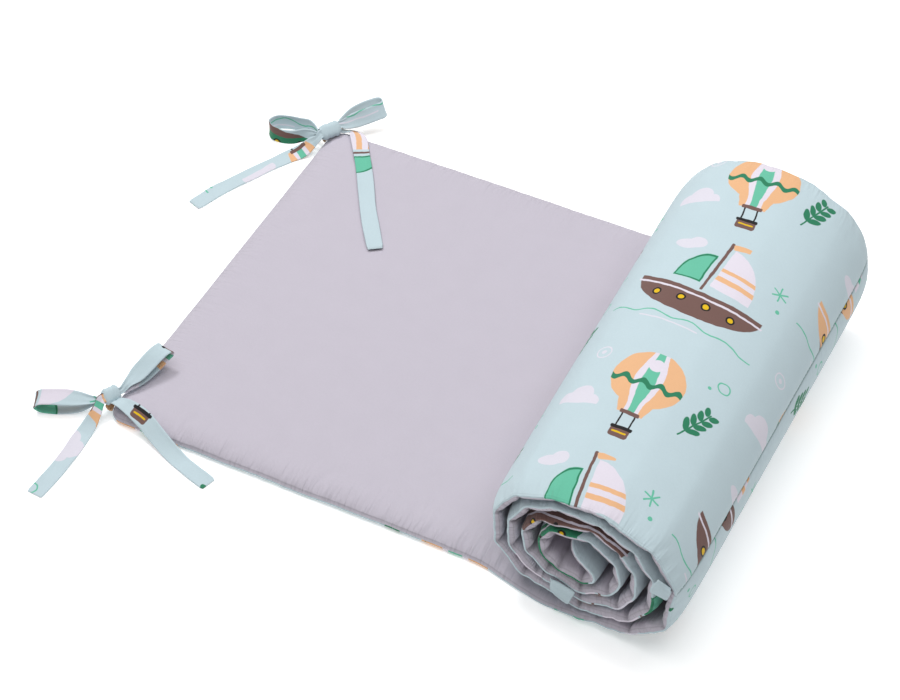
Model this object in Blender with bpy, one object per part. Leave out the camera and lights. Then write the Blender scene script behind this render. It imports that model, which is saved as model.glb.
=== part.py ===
"""Crib bumper: one long padded strip, rolled up from one end, with tape ties in bows.

Metres, +Z up. X runs along the strip from its free end to the roll, Y runs across it, and the roll
shows its turns at the -Y end. The part rests on Z = 0 and its origin is under the middle of its box.
"""

from collections import namedtuple
from math import cos, exp, pi, radians, sin, sqrt

import bmesh
import bpy
import numpy as np
from mathutils import Vector

MM = 0.001

# The padded strip
WIDTH = 0.400  # across the strip, its height in the crib
FLAT_THICKNESS = 0.0135
ROLL_THICKNESS = 0.0099  # the filling is pressed by the turns around it
SEAM_THICKNESS = 0.0022  # at the sewn edges
CROSS_SEAM_SHARE = 0.30  # thickness left where a seam crosses the strip
PUFF = 0.020  # distance from an edge at which the filling is full
CROSS_PUFF = 0.016  # the same beside a cross seam
CORNER_RADIUS = 0.014
EDGE_DROOP = 0.0018  # a sewn edge hangs this much below mid height where the strip lies flat

# The roll, seen from its -Y end
ROLL_X = 0.438  # from the free end to under the roll's middle
ROLL_Z = 0.068
LIFT_X = (0.300, 0.405)  # the lying strip thins towards the roll over this stretch
SQUARENESS = 0.93  # power on the quarter turns: 1 is an ellipse, less is boxier
SKEW = 0.090  # the turns slip towards -Y by this share of their way from the roll's free side
TILT = 0.070  # and the lower turns stick out by this share of their depth under the top
WIDER = 0.054  # the far end is wider than the near end by this share
TALLER = 0.088  # and taller by this one
END_PINCH = (0.058, 0.040)  # the sewn edges are drawn in towards the roll's middle, in X and in Z
PINCH_FADE = 0.011
MIDDLE_FOLD = 0.30  # how much of the end's folding is left at mid width
FOLD_FADE = 0.050  # distance from the edge over which the folds fade
CREASE = 0.35  # the filling gives way by this share inside a fold

# Middle of the cloth in each turn, as distances from the roll's middle, and the folds around it.
# Angles are degrees of winding: 0 on the +X side, 90 on top, 180 towards the free end, 270 below.
Turn = namedtuple("Turn", "right top left bottom folds")
TURNS = (
    Turn(0.0845, 0.0629, 0.0845, 0.0519, (-57, -24, 16, 48, 80, 108, 138, 168, 200, 232)),
    Turn(0.0650, 0.0515, 0.0700, 0.0408, (-90, -48, -16, 18, 50, 82, 110, 140, 169, 202, 234)),
    Turn(0.0475, 0.0400, 0.0552, 0.0297, (-90, -45, -12, 20, 52, 86, 140, 170, 204, 236)),
    Turn(0.0325, 0.0286, 0.0400, 0.0187, (-90, -40, -5, 28, 84, 138, 168, 206, 238)),
)
# The inner end turns back on itself and lies up against the last turn, measured from the roll's middle.
FLAP_BEND = (0.0038, -0.0108)
FLAP_BEND_RADIUS = 0.0060
FLAP_BEND_STEPS = (-75, -40, -5, 27, 54)
FLAP_END = (-0.0165, 0.0122)

# Seams that cross the strip, by the winding angle where they lie
CROSS_SEAMS = (12, 600)
CROSS_SEAM_STEPS = (-0.015, -0.006, 0.0, 0.006, 0.015)  # rows of points beside such a seam

# Rows of points along the lying part and across the strip
FLAT_ROWS = (0, 0.002, 0.006, 0.014, 0.035, 0.085, 0.140, 0.195, 0.250, 0.300, 0.345, 0.380, 0.410)
ACROSS = (0, 0.002, 0.006, 0.014, 0.032, 0.075, 0.135)

# Tape of the ties
TAPE_THICKNESS = 0.0016
GAP = 0.0003  # between pieces that touch
TAPE_STEPS = 4  # rings of points from stop to stop
LEAST_STEP = 0.00025  # from ring to ring along either edge of a tape

# Each bow's knot: its middle in mm, which way it points (degrees from +X) and how far it leans
KNOT_SIZE = (0.0135, 0.0125, 0.0088)  # along the knot, across the tape, through it
KNOT_PROFILE = ((-1.0, 0.80), (-0.86, 0.93), (-0.6, 1.0), (0.6, 1.0), (0.86, 0.93), (1.0, 0.80))
KNOT_POWER = 2.8  # roundness of its section: 2 is an ellipse
KNOT_SIDES = 20
KNOT_LEAD = 0.0028  # a tape leaves a knot straight for this far
FRONT_LAYER = 0.5  # where a loop's two walls leave it, in layers of tape from its middle
BACK_LAYER = -1.2
Knot = namedtuple("Knot", "x y z bearing lean")
FAR_KNOT = Knot(2.8, 186.0, 17.4, 57, 42)
NEAR_KNOT = Knot(-3.4, -186.0, 15.6, 60, 42)

# The tapes of the bows, in mm. Bearing and lean give the direction across the tape in degrees: the
# bearing from +X and the lean up from level. Starts and ends at a knot are worked out, not listed.
Stop = namedtuple("Stop", "x y z bearing lean width")
FAR_LOOP_LEFT = (
    Stop(-4.6, 176.6, 17.3, 142, 47, 4.5),
    Stop(-9.2, 177.4, 15.2, 132, 56, 6.5),
    Stop(-17.4, 175.4, 12.4, 116, 70, 12),
    Stop(-28.0, 169.8, 9.8, 104, 78, 15),
    Stop(-40.0, 167.2, 8.8, 102, 80, 15),
    Stop(-50.0, 168.6, 8.7, 104, 82, 15),
    Stop(-55.2, 174.5, 8.7, 108, 84, 15),
    Stop(-52.6, 181.6, 8.8, 104, 82, 15),
    Stop(-43.0, 186.4, 9.2, 100, 80, 15),
    Stop(-30.0, 188.2, 10.0, 104, 76, 15),
    Stop(-18.0, 187.0, 11.8, 112, 66, 14),
    Stop(-8.8, 182.8, 13.4, 138, 48, 5),
)
FAR_LOOP_RIGHT = (
    Stop(12.4, 199.0, 19.2, 146, 46, 10),
    Stop(17.4, 205.2, 19.8, 144, 48, 14),
    Stop(26.0, 215.6, 20.8, 142, 50, 15),
    Stop(33.0, 225.2, 21.5, 140, 52, 15),
    Stop(35.4, 228.4, 21.8, 140, 52, 15),
    Stop(35.9, 230.8, 22.1, 140, 52, 15),
    Stop(34.8, 232.8, 22.4, 140, 52, 15),
    Stop(32.4, 233.5, 22.7, 140, 52, 15),
    Stop(29.9, 232.2, 22.9, 140, 52, 15),
    Stop(26.0, 228.0, 22.9, 140, 52, 15),
    Stop(19.2, 220.2, 21.8, 142, 50, 15),
    Stop(12.0, 210.6, 19.8, 144, 48, 13),
    Stop(9.0, 202.6, 18.2, 146, 46, 10),
)
FAR_TAIL_LEFT = (
    Stop(-2.6, 172.9, 16.2, 150, 30, 7),
    Stop(-7.8, 169.8, 10.6, 152, 26, 11),
    Stop(-12.6, 164.6, 5.4, 153, 14, 14),
    Stop(-19.6, 157.0, 1.6, 154, 4, 15),
    Stop(-29.0, 142.4, 0.8, 155, 0, 15),
    Stop(-45.0, 112.0, 0.8, 157, 0, 15),
    Stop(-58.0, 85.5, 0.8, 158, 0, 15),
    Stop(-68.5, 57.4, 0.8, 158, 0, 15),
)
FAR_TAIL_RIGHT = (
    Stop(13.2, 197.4, 12.0, 132, -24, 8),
    Stop(17.6, 200.4, 10.6, 108, -28, 11),
    Stop(23.2, 198.4, 11.9, 72, -24, 14),
    Stop(29.2, 192.0, 14.0, 46, -12, 15),
    Stop(40.0, 176.8, 15.1, 37, 0, 15),
    Stop(58.4, 149.4, 14.9, 34, 0, 15),
    Stop(84.2, 107.6, 14.9, 35, 0, 15),
    Stop(112.1, 67.8, 14.9, 35, 0, 15),
)
NEAR_LOOP_LEFT = (
    Stop(-14.4, -196.4, 14.2, 124, 34, 7),
    Stop(-24.6, -200.8, 15.0, 113, 24, 12),
    Stop(-36.0, -205.6, 15.8, 111, 18, 15),
    Stop(-48.0, -210.6, 15.6, 110, 18, 15),
    Stop(-57.0, -214.2, 13.8, 110, 18, 15),
    Stop(-60.4, -215.4, 9.6, 110, 18, 15),
    Stop(-56.6, -213.6, 5.4, 110, 18, 15),
    Stop(-48.0, -209.6, 3.7, 110, 18, 15),
    Stop(-36.0, -204.2, 3.9, 111, 18, 15),
    Stop(-25.0, -199.2, 6.0, 114, 22, 14),
    Stop(-16.2, -195.2, 10.0, 124, 34, 8),
)
NEAR_LOOP_RIGHT = (
    Stop(4.4, -171.8, 19.6, 158, 28, 8),
    Stop(8.0, -162.6, 23.0, 168, 18, 14),
    Stop(11.6, -152.0, 27.4, 172, 12, 15),
    Stop(15.0, -141.4, 31.4, 173, 11, 15),
    Stop(17.2, -135.0, 32.5, 173, 11, 15),
    Stop(18.2, -131.9, 31.8, 173, 11, 15),
    Stop(18.8, -130.7, 29.6, 173, 11, 15),
    Stop(18.5, -131.6, 27.3, 173, 11, 15),
    Stop(17.5, -134.6, 26.0, 173, 11, 15),
    Stop(15.4, -142.0, 23.0, 173, 11, 15),
    Stop(11.6, -153.0, 19.8, 170, 13, 15),
    Stop(7.4, -164.0, 17.9, 166, 18, 14),
    Stop(4.2, -172.8, 15.8, 158, 28, 8),
)
NEAR_TAIL_LEFT = (
    Stop(-7.0, -198.8, 14.8, 158, 28, 8),
    Stop(-7.4, -204.6, 9.8, 166, 18, 10),
    Stop(-8.4, -211.8, 4.4, 174, 8, 13),
    Stop(-9.0, -222.0, 1.1, 178, 2, 15),
    Stop(-7.8, -242.0, 0.8, 180, 0, 15),
    Stop(-7.6, -270.0, 0.8, 182, 0, 15),
    Stop(-9.6, -296.4, 0.8, 184, 0, 15),
)
NEAR_TAIL_RIGHT = (
    Stop(5.4, -190.9, 17.0, 60, 0, 10),
    Stop(11.0, -191.6, 18.0, 61, 2, 12),
    Stop(18.0, -192.0, 17.0, 61, 6, 14),
    Stop(27.0, -193.8, 15.4, 60, 12, 15),
    Stop(37.0, -197.2, 13.2, 60, 22, 15),
    Stop(47.0, -201.4, 9.8, 61, 30, 15),
    Stop(57.6, -205.8, 6.4, 63, 26, 15),
    Stop(68.0, -209.8, 3.4, 65, 14, 15),
    Stop(79.0, -213.6, 1.0, 67, 2, 15),
    Stop(90.0, -217.2, 0.8, 70, 0, 15),
    Stop(111.8, -224.0, 0.8, 74, 0, 15),
)
# Short tapes: a root runs from the pad's corner up to each knot, and a stub ends at each cross seam
FAR_ROOT = (
    Stop(-0.4, 186.0, 4.9, 90, 0, 9),
    Stop(-1.9, 186.0, 5.5, 90, 0, 9),
    Stop(-2.9, 186.0, 7.6, 90, 0, 9),
    Stop(-2.8, 186.6, 10.0, 90, 0, 8),
    Stop(-2.2, 187.2, 12.4, 90, 0, 7),
)
NEAR_ROOT = (
    Stop(0.2, -189.0, 4.9, 78, 0, 9),
    Stop(-1.5, -189.4, 5.2, 76, 0, 9),
    Stop(-3.0, -189.6, 6.4, 74, 0, 9),
    Stop(-3.6, -189.2, 7.6, 72, 0, 9),
    Stop(-3.6, -189.0, 8.9, 70, 0, 8),
)
FIRST_STUB = (
    Stop(507.6, -219.8, 90.0, 168, 57, 14),
    Stop(507.2, -221.2, 89.0, 168, 55, 14),
    Stop(506.4, -222.8, 86.4, 168, 52, 15),
    Stop(505.6, -223.8, 83.2, 168, 48, 15),
    Stop(504.8, -224.8, 79.4, 168, 46, 15),
)
SECOND_STUB = (
    Stop(413.0, -213.0, 32.2, 98, 84, 7),
    Stop(414.2, -215.4, 32.8, 100, 76, 9),
    Stop(418.2, -217.0, 32.7, 102, 66, 11),
    Stop(425.0, -218.4, 31.6, 102, 60, 12),
    Stop(433.6, -219.4, 29.6, 100, 56, 12),
)


def ease(value):
    """Smooth step from 0 to 1."""
    value = min(max(value, 0.0), 1.0)
    return value * value * (3 - 2 * value)


def puff(distance, reach):
    """Share of the full thickness at a distance from a seam: a quarter of an ellipse."""
    left = 1 - min(distance / reach, 1.0)
    return sqrt(1 - left * left)


# ---------------------------------------------------------------- the strip's path in the XZ plane

QUARTERS = (Vector((0, -1)), Vector((1, 0)), Vector((0, 1)), Vector((-1, 0)))
REACHES = [ROLL_Z - ROLL_THICKNESS / 2]
for row in TURNS:
    REACHES += [row.right, row.top, row.left, row.bottom]
FOLDS = [-90] + [fold + 360 * i for i, row in enumerate(TURNS) for fold in row.folds]
LAST_ANGLE = 360 * len(TURNS) - 90
FOLDS = FOLDS + [LAST_ANGLE]


def spiral(angle):
    """Middle of the cloth at a winding angle, from the roll's middle, with no folds."""
    quarter = min(int((angle + 90) // 90), len(REACHES) - 2)
    part = radians(angle + 90 - 90 * quarter)
    start = QUARTERS[quarter % 4] * REACHES[quarter] * max(cos(part), 0.0) ** SQUARENESS
    end = QUARTERS[(quarter + 1) % 4] * REACHES[quarter + 1] * max(sin(part), 0.0) ** SQUARENESS
    return start + end


def folded(angle):
    """The same with flat stretches from fold to fold."""
    for first, last in zip(FOLDS, FOLDS[1:]):
        if first <= angle <= last:
            share = (angle - first) / (last - first)
            return spiral(first).lerp(spiral(last), share)
    raise ValueError(angle)


def winding_rows():
    """Winding angles that carry a row of points: each fold, the middle of each stretch, each seam."""
    angles = set()
    for first, last in zip(FOLDS, FOLDS[1:]):
        if last > first:
            angles |= {first, (first + last) / 2, last}
    for seam in CROSS_SEAMS:
        speed = (spiral(seam + 1) - spiral(seam)).length
        near = [seam + step / speed for step in CROSS_SEAM_STEPS]
        angles = {a for a in angles if not near[0] - 4 < a < near[-1] + 4}
        angles |= set(near)
    return sorted(angles)


Row = namedtuple("Row", "smooth fold crease lying")


def strip_rows():
    """Rows of the strip from its free end to its inner end."""
    middle = Vector((ROLL_X, ROLL_Z))
    rows = []
    for x in FLAT_ROWS:
        thick = FLAT_THICKNESS + (ROLL_THICKNESS - FLAT_THICKNESS) * ease(
            (x - LIFT_X[0]) / (LIFT_X[1] - LIFT_X[0])
        )
        point = Vector((x, thick / 2))
        rows.append(Row(point, point, 0.0, 1.0))
    for angle in winding_rows():
        crease = 1.0 if angle in FOLDS and angle > -90 else 0.0
        rows.append(Row(middle + spiral(angle), middle + folded(angle), crease, 0.0))
    centre = middle + Vector(FLAP_BEND)
    for angle in FLAP_BEND_STEPS:
        turn = radians(angle)
        point = centre + Vector((cos(turn), sin(turn))) * FLAP_BEND_RADIUS
        rows.append(Row(point, point, 0.0, 0.0))
    start, end = rows[-1].smooth, middle + Vector(FLAP_END)
    for share in (0.3, 0.6, 0.8, 0.92, 1.0):
        point = start.lerp(end, share)
        rows.append(Row(point, point, 0.0, 0.0))
    return rows


def lengths(points):
    """Distance along a line of points."""
    total = [0.0]
    for a, b in zip(points, points[1:]):
        total.append(total[-1] + (b - a).length)
    return total


def seam_places(rows, along):
    """Distance along the strip of each cross seam."""
    middle = Vector((ROLL_X, ROLL_Z))
    places = []
    for seam in CROSS_SEAMS:
        target = middle + spiral(seam)
        places.append(min(zip(rows, along), key=lambda pair: (pair[0].smooth - target).length)[1])
    return places


def across_columns():
    """Distances across the strip from its near edge."""
    return list(ACROSS) + [WIDTH / 2] + [WIDTH - d for d in reversed(ACROSS)]


def slip(x, z, lying):
    """How far a point is moved towards -Y by the loose winding of the roll."""
    free_side = ROLL_X - TURNS[0].left
    side = SKEW * max(x - free_side, 0.0)
    down = TILT * (ROLL_Z + TURNS[0].top - z)
    return side + down * (ease((x - 0.33) / 0.08) if lying else 1.0)


def shaped(point, d):
    """A point of the roll's path, fitted to the roll's width and height at a distance across."""
    edge = exp(-min(d, WIDTH - d) / PINCH_FADE)
    wide = (1 + WIDER * (d / WIDTH - 0.5)) * (1 - END_PINCH[0] * edge)
    floor = ROLL_THICKNESS / 2
    z = floor + (point.y - floor) * (1 + TALLER * (d / WIDTH - 0.5))
    return Vector((ROLL_X + (point.x - ROLL_X) * wide, z + (ROLL_Z - z) * END_PINCH[1] * edge))


def pad_points():
    """Upper (grey) and lower (printed) points of the pad, as [row][column] lists of vectors."""
    rows = strip_rows()
    along = lengths([row.smooth for row in rows])
    total = along[-1]
    seams = seam_places(rows, along)
    upper, lower = [], []
    columns = across_columns()
    centre_lines = []
    for d in columns:
        edge = min(d, WIDTH - d)
        share = MIDDLE_FOLD + (1 - MIDDLE_FOLD) * exp(-edge / FOLD_FADE)
        line = [row.smooth.lerp(row.fold, share) for row in rows]
        line = [p if row.lying else shaped(p, d) for p, row in zip(line, rows)]
        centre_lines.append(line)
    for i, row in enumerate(rows):
        end = min(along[i], total - along[i])
        gone = max(CORNER_RADIUS - end, 0.0)
        corner = CORNER_RADIUS - sqrt(CORNER_RADIUS**2 - gone**2)
        half = row.smooth.y if row.lying else ROLL_THICKNESS / 2
        top_row, low_row = [], []
        for d, line in zip(columns, centre_lines):
            edge = min(d, WIDTH - d)
            before, here, after = line[max(i - 1, 0)], line[i], line[min(i + 1, len(line) - 1)]
            into, out = (here - before), (after - here)
            into = (into if into.length > 1e-9 else out).normalized()
            out = (out if out.length > 1e-9 else into).normalized()
            way = (into + out).normalized()
            mitre = min(1 / max(way.dot(into), 0.5), 1.15)
            normal = Vector((-way.y, way.x))
            full = puff(edge, PUFF) * puff(end, PUFF)
            for place in seams:
                beside = puff(abs(along[i] - place), CROSS_PUFF)
                full *= CROSS_SEAM_SHARE + (1 - CROSS_SEAM_SHARE) * beside
            thick = SEAM_THICKNESS / 2 + (half - SEAM_THICKNESS / 2) * full
            soft = 1 - CREASE * row.crease * exp(-edge / FOLD_FADE)
            middle = Vector((here.x, here.y))
            if row.lying:
                middle.y -= EDGE_DROOP * (1 - full)
            y = d - WIDTH / 2
            y += corner * (1 if y < 0 else -1) * (edge < CORNER_RADIUS) * (1 - edge / CORNER_RADIUS)
            y -= slip(here.x, here.y, row.lying)
            high = middle + normal * thick * mitre * soft
            low = middle - normal * thick * mitre
            top_row.append((high.x, y, high.y))
            low_row.append((low.x, y, low.y))
        upper.append(top_row)
        lower.append(low_row)
    return upper, lower


# ---------------------------------------------------------------- making objects


def material(name, colour, roughness):
    """Plain cloth finish."""
    finish = bpy.data.materials.new(name)
    finish.use_nodes = True
    shader = finish.node_tree.nodes["Principled BSDF"]
    shader.inputs["Base Color"].default_value = (*colour, 1.0)
    shader.inputs["Roughness"].default_value = roughness
    shader.inputs["Metallic"].default_value = 0.0
    finish.diffuse_color = (*colour, 1.0)
    return finish


def add_object(name, mesh_data, finish, parent):
    """Link a finished bmesh as a named object under its parent."""
    mesh = bpy.data.meshes.new(name)
    mesh_data.to_mesh(mesh)
    mesh_data.free()
    mesh.shade_smooth()
    mesh.materials.append(finish)
    item = bpy.data.objects.new(name, mesh)
    item.parent = parent
    bpy.context.scene.collection.objects.link(item)
    return item


def make_pad(parent, finish):
    """The padded strip as one closed solid."""
    upper, lower = pad_points()
    mesh = bmesh.new()
    top = [[mesh.verts.new(p) for p in row] for row in upper]
    low = [[mesh.verts.new(p) for p in row] for row in lower]
    rows, columns = len(top), len(top[0])
    for i in range(rows - 1):
        for j in range(columns - 1):
            mesh.faces.new((top[i][j], top[i + 1][j], top[i + 1][j + 1], top[i][j + 1]))
            mesh.faces.new((low[i][j], low[i][j + 1], low[i + 1][j + 1], low[i + 1][j]))
        mesh.faces.new((low[i][0], low[i + 1][0], top[i + 1][0], top[i][0]))
        mesh.faces.new((low[i][-1], top[i][-1], top[i + 1][-1], low[i + 1][-1]))
    for j in range(columns - 1):
        mesh.faces.new((low[0][j], top[0][j], top[0][j + 1], low[0][j + 1]))
        mesh.faces.new((low[-1][j], low[-1][j + 1], top[-1][j + 1], top[-1][j]))
    return add_object("pad", mesh, finish, parent)


# ---------------------------------------------------------------- ties


def direction(bearing, lean=0.0):
    """Unit vector from a bearing and a lean in degrees."""
    level = cos(radians(lean))
    return Vector(
        (cos(radians(bearing)) * level, sin(radians(bearing)) * level, sin(radians(lean)))
    )


def knot_frame(knot):
    """Middle of a knot, the way it points, the direction across its tape, and the one through it."""
    along = direction(knot.bearing)
    across = direction(knot.bearing + 90, knot.lean)
    return Vector(knot[:3]) * MM, along, across, along.cross(across)


def knot_stops(knot, side, layer, width, shift=0.0):
    """How a tape leaves a knot: side is 1 or -1, layers lie on each other, shift is across them."""
    middle, along, across, through = knot_frame(knot)
    face = middle + along * side * (KNOT_SIZE[0] / 2 + GAP)
    face += through * layer * (TAPE_THICKNESS + GAP) + across * shift
    points = (face, face + along * side * KNOT_LEAD)
    return [Stop(*(point / MM), knot.bearing + 90, knot.lean, width) for point in points]


def smooth_stops(stops):
    """Stops along a smooth curve through the given ones, which may be unevenly spaced."""
    values = [np.array(stop, dtype=float) for stop in stops]
    gaps = [np.linalg.norm(b[:3] - a[:3]) for a, b in zip(values, values[1:])]
    slopes = [(b - a) / gap for a, b, gap in zip(values, values[1:], gaps)]
    turns = [slopes[0]]
    for i in range(1, len(slopes)):
        turns.append((gaps[i] * slopes[i - 1] + gaps[i - 1] * slopes[i]) / (gaps[i - 1] + gaps[i]))
    turns.append(slopes[-1])
    out = []
    for i, gap in enumerate(gaps):
        for step in range(TAPE_STEPS):
            t = step / TAPE_STEPS
            ahead = ease(t)
            leave = t * (1 - t) ** 2 * gap
            arrive = t * t * (1 - t) * gap
            point = values[i] * (1 - ahead) + values[i + 1] * ahead
            out.append(point + turns[i] * leave - turns[i + 1] * arrive)
    out.append(values[-1])
    return [Stop(*value) for value in out]


def tape_edges(stops, points, ways):
    """Both edges of a tape at each stop. An edge inside a sharp bend gathers and never turns back."""
    edges = []
    for stop, point, way in zip(stops, points, ways):
        across = direction(stop.bearing, stop.lean)
        across = (across - way * across.dot(way)).normalized() * stop.width * MM / 2
        edges.append([point - across, point + across])
    for before, here, way in zip(edges, edges[1:], ways[1:]):
        for k in range(2):
            step = (here[k] - before[k]).dot(way)
            here[k] = here[k] + way * max(LEAST_STEP - step, 0.0)
    return edges


def make_tape(name, stops, finish, parent):
    """A flat tape swept along its stops, none of it below the floor."""
    stops = smooth_stops(stops)
    points = [Vector(stop[:3]) * MM for stop in stops]
    ways = [(b - a).normalized() for a, b in zip(points[:1] + points, points[1:] + points[-1:])]
    mesh = bmesh.new()
    rings = []
    for way, (left, right) in zip(ways, tape_edges(stops, points, ways)):
        through = way.cross(right - left).normalized() * TAPE_THICKNESS / 2
        ring = [left - through, right - through, right + through, left + through]
        lift = max(-min(corner.z for corner in ring), 0.0)
        rings.append([mesh.verts.new(corner + Vector((0, 0, lift))) for corner in ring])
    for first, second in zip(rings, rings[1:]):
        for k in range(4):
            n = (k + 1) % 4
            mesh.faces.new((first[k], first[n], second[n], second[k]))
    mesh.faces.new(reversed(rings[0]))
    mesh.faces.new(rings[-1])
    return add_object(name, mesh, finish, parent)


def make_knot(name, knot, finish, parent):
    """A rounded band of tape with flat ends."""
    middle, along, across, through = knot_frame(knot)
    length, wide, thick = KNOT_SIZE
    mesh = bmesh.new()
    rings = []
    for place, size in KNOT_PROFILE:
        ring = []
        for k in range(KNOT_SIDES):
            turn = 2 * pi * k / KNOT_SIDES
            reach = (abs(cos(turn)) ** KNOT_POWER + abs(sin(turn)) ** KNOT_POWER) ** (-1 / KNOT_POWER)
            point = middle + along * place * length / 2
            point += across * cos(turn) * reach * size * wide / 2
            point += through * sin(turn) * reach * size * thick / 2
            ring.append(mesh.verts.new(point))
        rings.append(ring)
    for first, second in zip(rings, rings[1:]):
        for k in range(KNOT_SIDES):
            n = (k + 1) % KNOT_SIDES
            mesh.faces.new((first[k], first[n], second[n], second[k]))
    mesh.faces.new(reversed(rings[0]))
    mesh.faces.new(rings[-1])
    return add_object(name, mesh, finish, parent)


def make_ties(parent, finish):
    """Both bows."""
    for place, knot, loops, tails in BOWS:
        make_knot(f"{place}_tie_knot", knot, finish, parent)
        for word, side, width, shift, stops in loops:
            start = knot_stops(knot, side, FRONT_LAYER, width, shift)
            end = knot_stops(knot, side, BACK_LAYER, width, shift)
            route = start + list(stops) + list(reversed(end))
            make_tape(f"{place}_tie_loop_{word}", route, finish, parent)
        for word, start, stops in tails:
            make_tape(f"{place}_tie_tail_{word}", start + list(stops), finish, parent)
    for name, stops in SHORT_TAPES:
        make_tape(name, stops, finish, parent)


BOWS = (
    (
        "far",
        FAR_KNOT,
        (("left", -1, 4.5, 0.0, FAR_LOOP_LEFT), ("right", 1, 5.5, 0.0022, FAR_LOOP_RIGHT)),
        (
            ("left", knot_stops(FAR_KNOT, -1, 1.5, 8), FAR_TAIL_LEFT),
            ("right", knot_stops(FAR_KNOT, 1, -0.5, 4, -0.0035), FAR_TAIL_RIGHT),
        ),
    ),
    (
        "near",
        NEAR_KNOT,
        (("left", -1, 5.5, 0.0, NEAR_LOOP_LEFT), ("right", 1, 6, 0.0, NEAR_LOOP_RIGHT)),
        (
            ("left", knot_stops(NEAR_KNOT, -1, 1.5, 8), NEAR_TAIL_LEFT),
            ("right", [Stop(2.5, -189.4, 14.2, 60, 0, 9)], NEAR_TAIL_RIGHT),
        ),
    ),
)


SHORT_TAPES = (
    ("far_tie_root", FAR_ROOT),
    ("near_tie_root", NEAR_ROOT),
    ("first_seam_stub", FIRST_STUB),
    ("second_seam_stub", SECOND_STUB),
)


def centre_under(parent):
    """Move the parent so that its origin is under the middle of the whole part's box."""
    corners = [corner.co for item in parent.children for corner in item.data.vertices]
    low = Vector([min(corner[k] for corner in corners) for k in range(3)])
    high = Vector([max(corner[k] for corner in corners) for k in range(3)])
    parent.location = (-(low.x + high.x) / 2, -(low.y + high.y) / 2, -low.z)


def main():
    for item in list(bpy.data.objects):
        bpy.data.objects.remove(item)
    bumper = bpy.data.objects.new("bumper", None)
    bpy.context.scene.collection.objects.link(bumper)
    cloth = material("grey and printed cotton", (0.62, 0.58, 0.63), 0.9)
    tape = material("printed tape", (0.55, 0.72, 0.72), 0.9)
    make_pad(bumper, cloth)
    make_ties(bumper, tape)
    centre_under(bumper)


main()
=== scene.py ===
"""Looks of the crib bumper: one long padded strip rolled up from one end, with tape ties in bows.

Metres, +Z up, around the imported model. The strip is grey on its upper face and printed on the other.
"""

from collections import namedtuple
from functools import partialmethod
from math import cos, pi, radians, sin

import bpy
import numpy as np
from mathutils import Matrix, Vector


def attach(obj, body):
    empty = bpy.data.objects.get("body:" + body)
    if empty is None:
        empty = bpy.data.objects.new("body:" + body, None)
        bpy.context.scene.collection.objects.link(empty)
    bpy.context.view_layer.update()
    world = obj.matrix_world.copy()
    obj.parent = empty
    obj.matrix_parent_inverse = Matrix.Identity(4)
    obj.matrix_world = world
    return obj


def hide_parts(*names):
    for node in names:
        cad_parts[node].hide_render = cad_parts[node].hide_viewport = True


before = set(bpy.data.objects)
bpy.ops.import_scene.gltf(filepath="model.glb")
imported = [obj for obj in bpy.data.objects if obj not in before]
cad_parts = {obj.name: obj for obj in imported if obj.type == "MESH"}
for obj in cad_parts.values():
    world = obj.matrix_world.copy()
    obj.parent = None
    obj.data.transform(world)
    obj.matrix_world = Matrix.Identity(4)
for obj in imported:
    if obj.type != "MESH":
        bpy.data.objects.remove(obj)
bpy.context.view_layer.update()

MM = 0.001
SEED = 11

# ---------------------------------------------------------------- the strip's path, as in the solids

WIDTH = 0.400
FLAT_THICKNESS = 0.0135  # where the strip lies
ROLL_THICKNESS = 0.0099  # and where it is rolled
SEAM_THICKNESS = 0.0020
SEAM_SHIFT = (0.0030, 0.0034)  # how far the sewn edge lies towards the print: rolled, lying
CORNER_RADIUS = 0.014
PUFF = 0.020  # a face rises from its seam to full height within this
WALL = 0.0070  # and the roll's grey face within this
CROSS_PUFF = 0.016
CROSS_SEAM_SHARE = 0.30  # of the height, left at a cross seam
CREASE = 0.62  # of the height, gone from the grey face at a fold
CREASE_WIDTH = 0.0034

# The roll: its middle, how square its turns are, and how it widens towards its far end
ROLL_X, ROLL_Z = 0.438, 0.068
LIFT_X = (0.300, 0.405)
SQUARENESS = 0.93
SKEW, TILT = 0.090, 0.070
WIDER, TALLER = 0.054, 0.088
END_PINCH = (0.058, 0.040)  # how much its ends draw in, across and up
PINCH_FADE = 0.011
MIDDLE_FOLD, FAR_FOLD = 0.30, 0.18  # how sharp its folds stay in the middle; less at the far end
FOLD_FADE = 0.050

Turn = namedtuple("Turn", "right top left bottom folds")
TURNS = (
    Turn(0.0845, 0.0629, 0.0845, 0.0519, (-57, -24, 16, 48, 80, 108, 138, 168, 200, 232)),
    Turn(0.0650, 0.0515, 0.0700, 0.0408, (-90, -48, -16, 18, 50, 82, 110, 140, 169, 202, 234)),
    Turn(0.0475, 0.0400, 0.0552, 0.0297, (-90, -45, -12, 20, 52, 86, 140, 170, 204, 236)),
    Turn(0.0325, 0.0286, 0.0400, 0.0187, (-90, -40, -5, 28, 84, 138, 168, 206, 238)),
)
FLAP_BEND = (0.0038, -0.0108)
FLAP_BEND_RADIUS = 0.0060
FLAP_END = (-0.0165, 0.0122)
CROSS_SEAMS = (12, 600)  # winding angles
LAST_LYING = 0.410

# Steps of the path before it is made even, and the running means that soften it
LYING_STEP, ANGLE_STEP = 0.001, 0.5
FLAP_ANGLES = (-75, 55, 3)
FLAP_SHARES = (0.04, 1, 25)
SMOOTH_REACH, FOLD_REACHES = 4, (5, 3)

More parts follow.
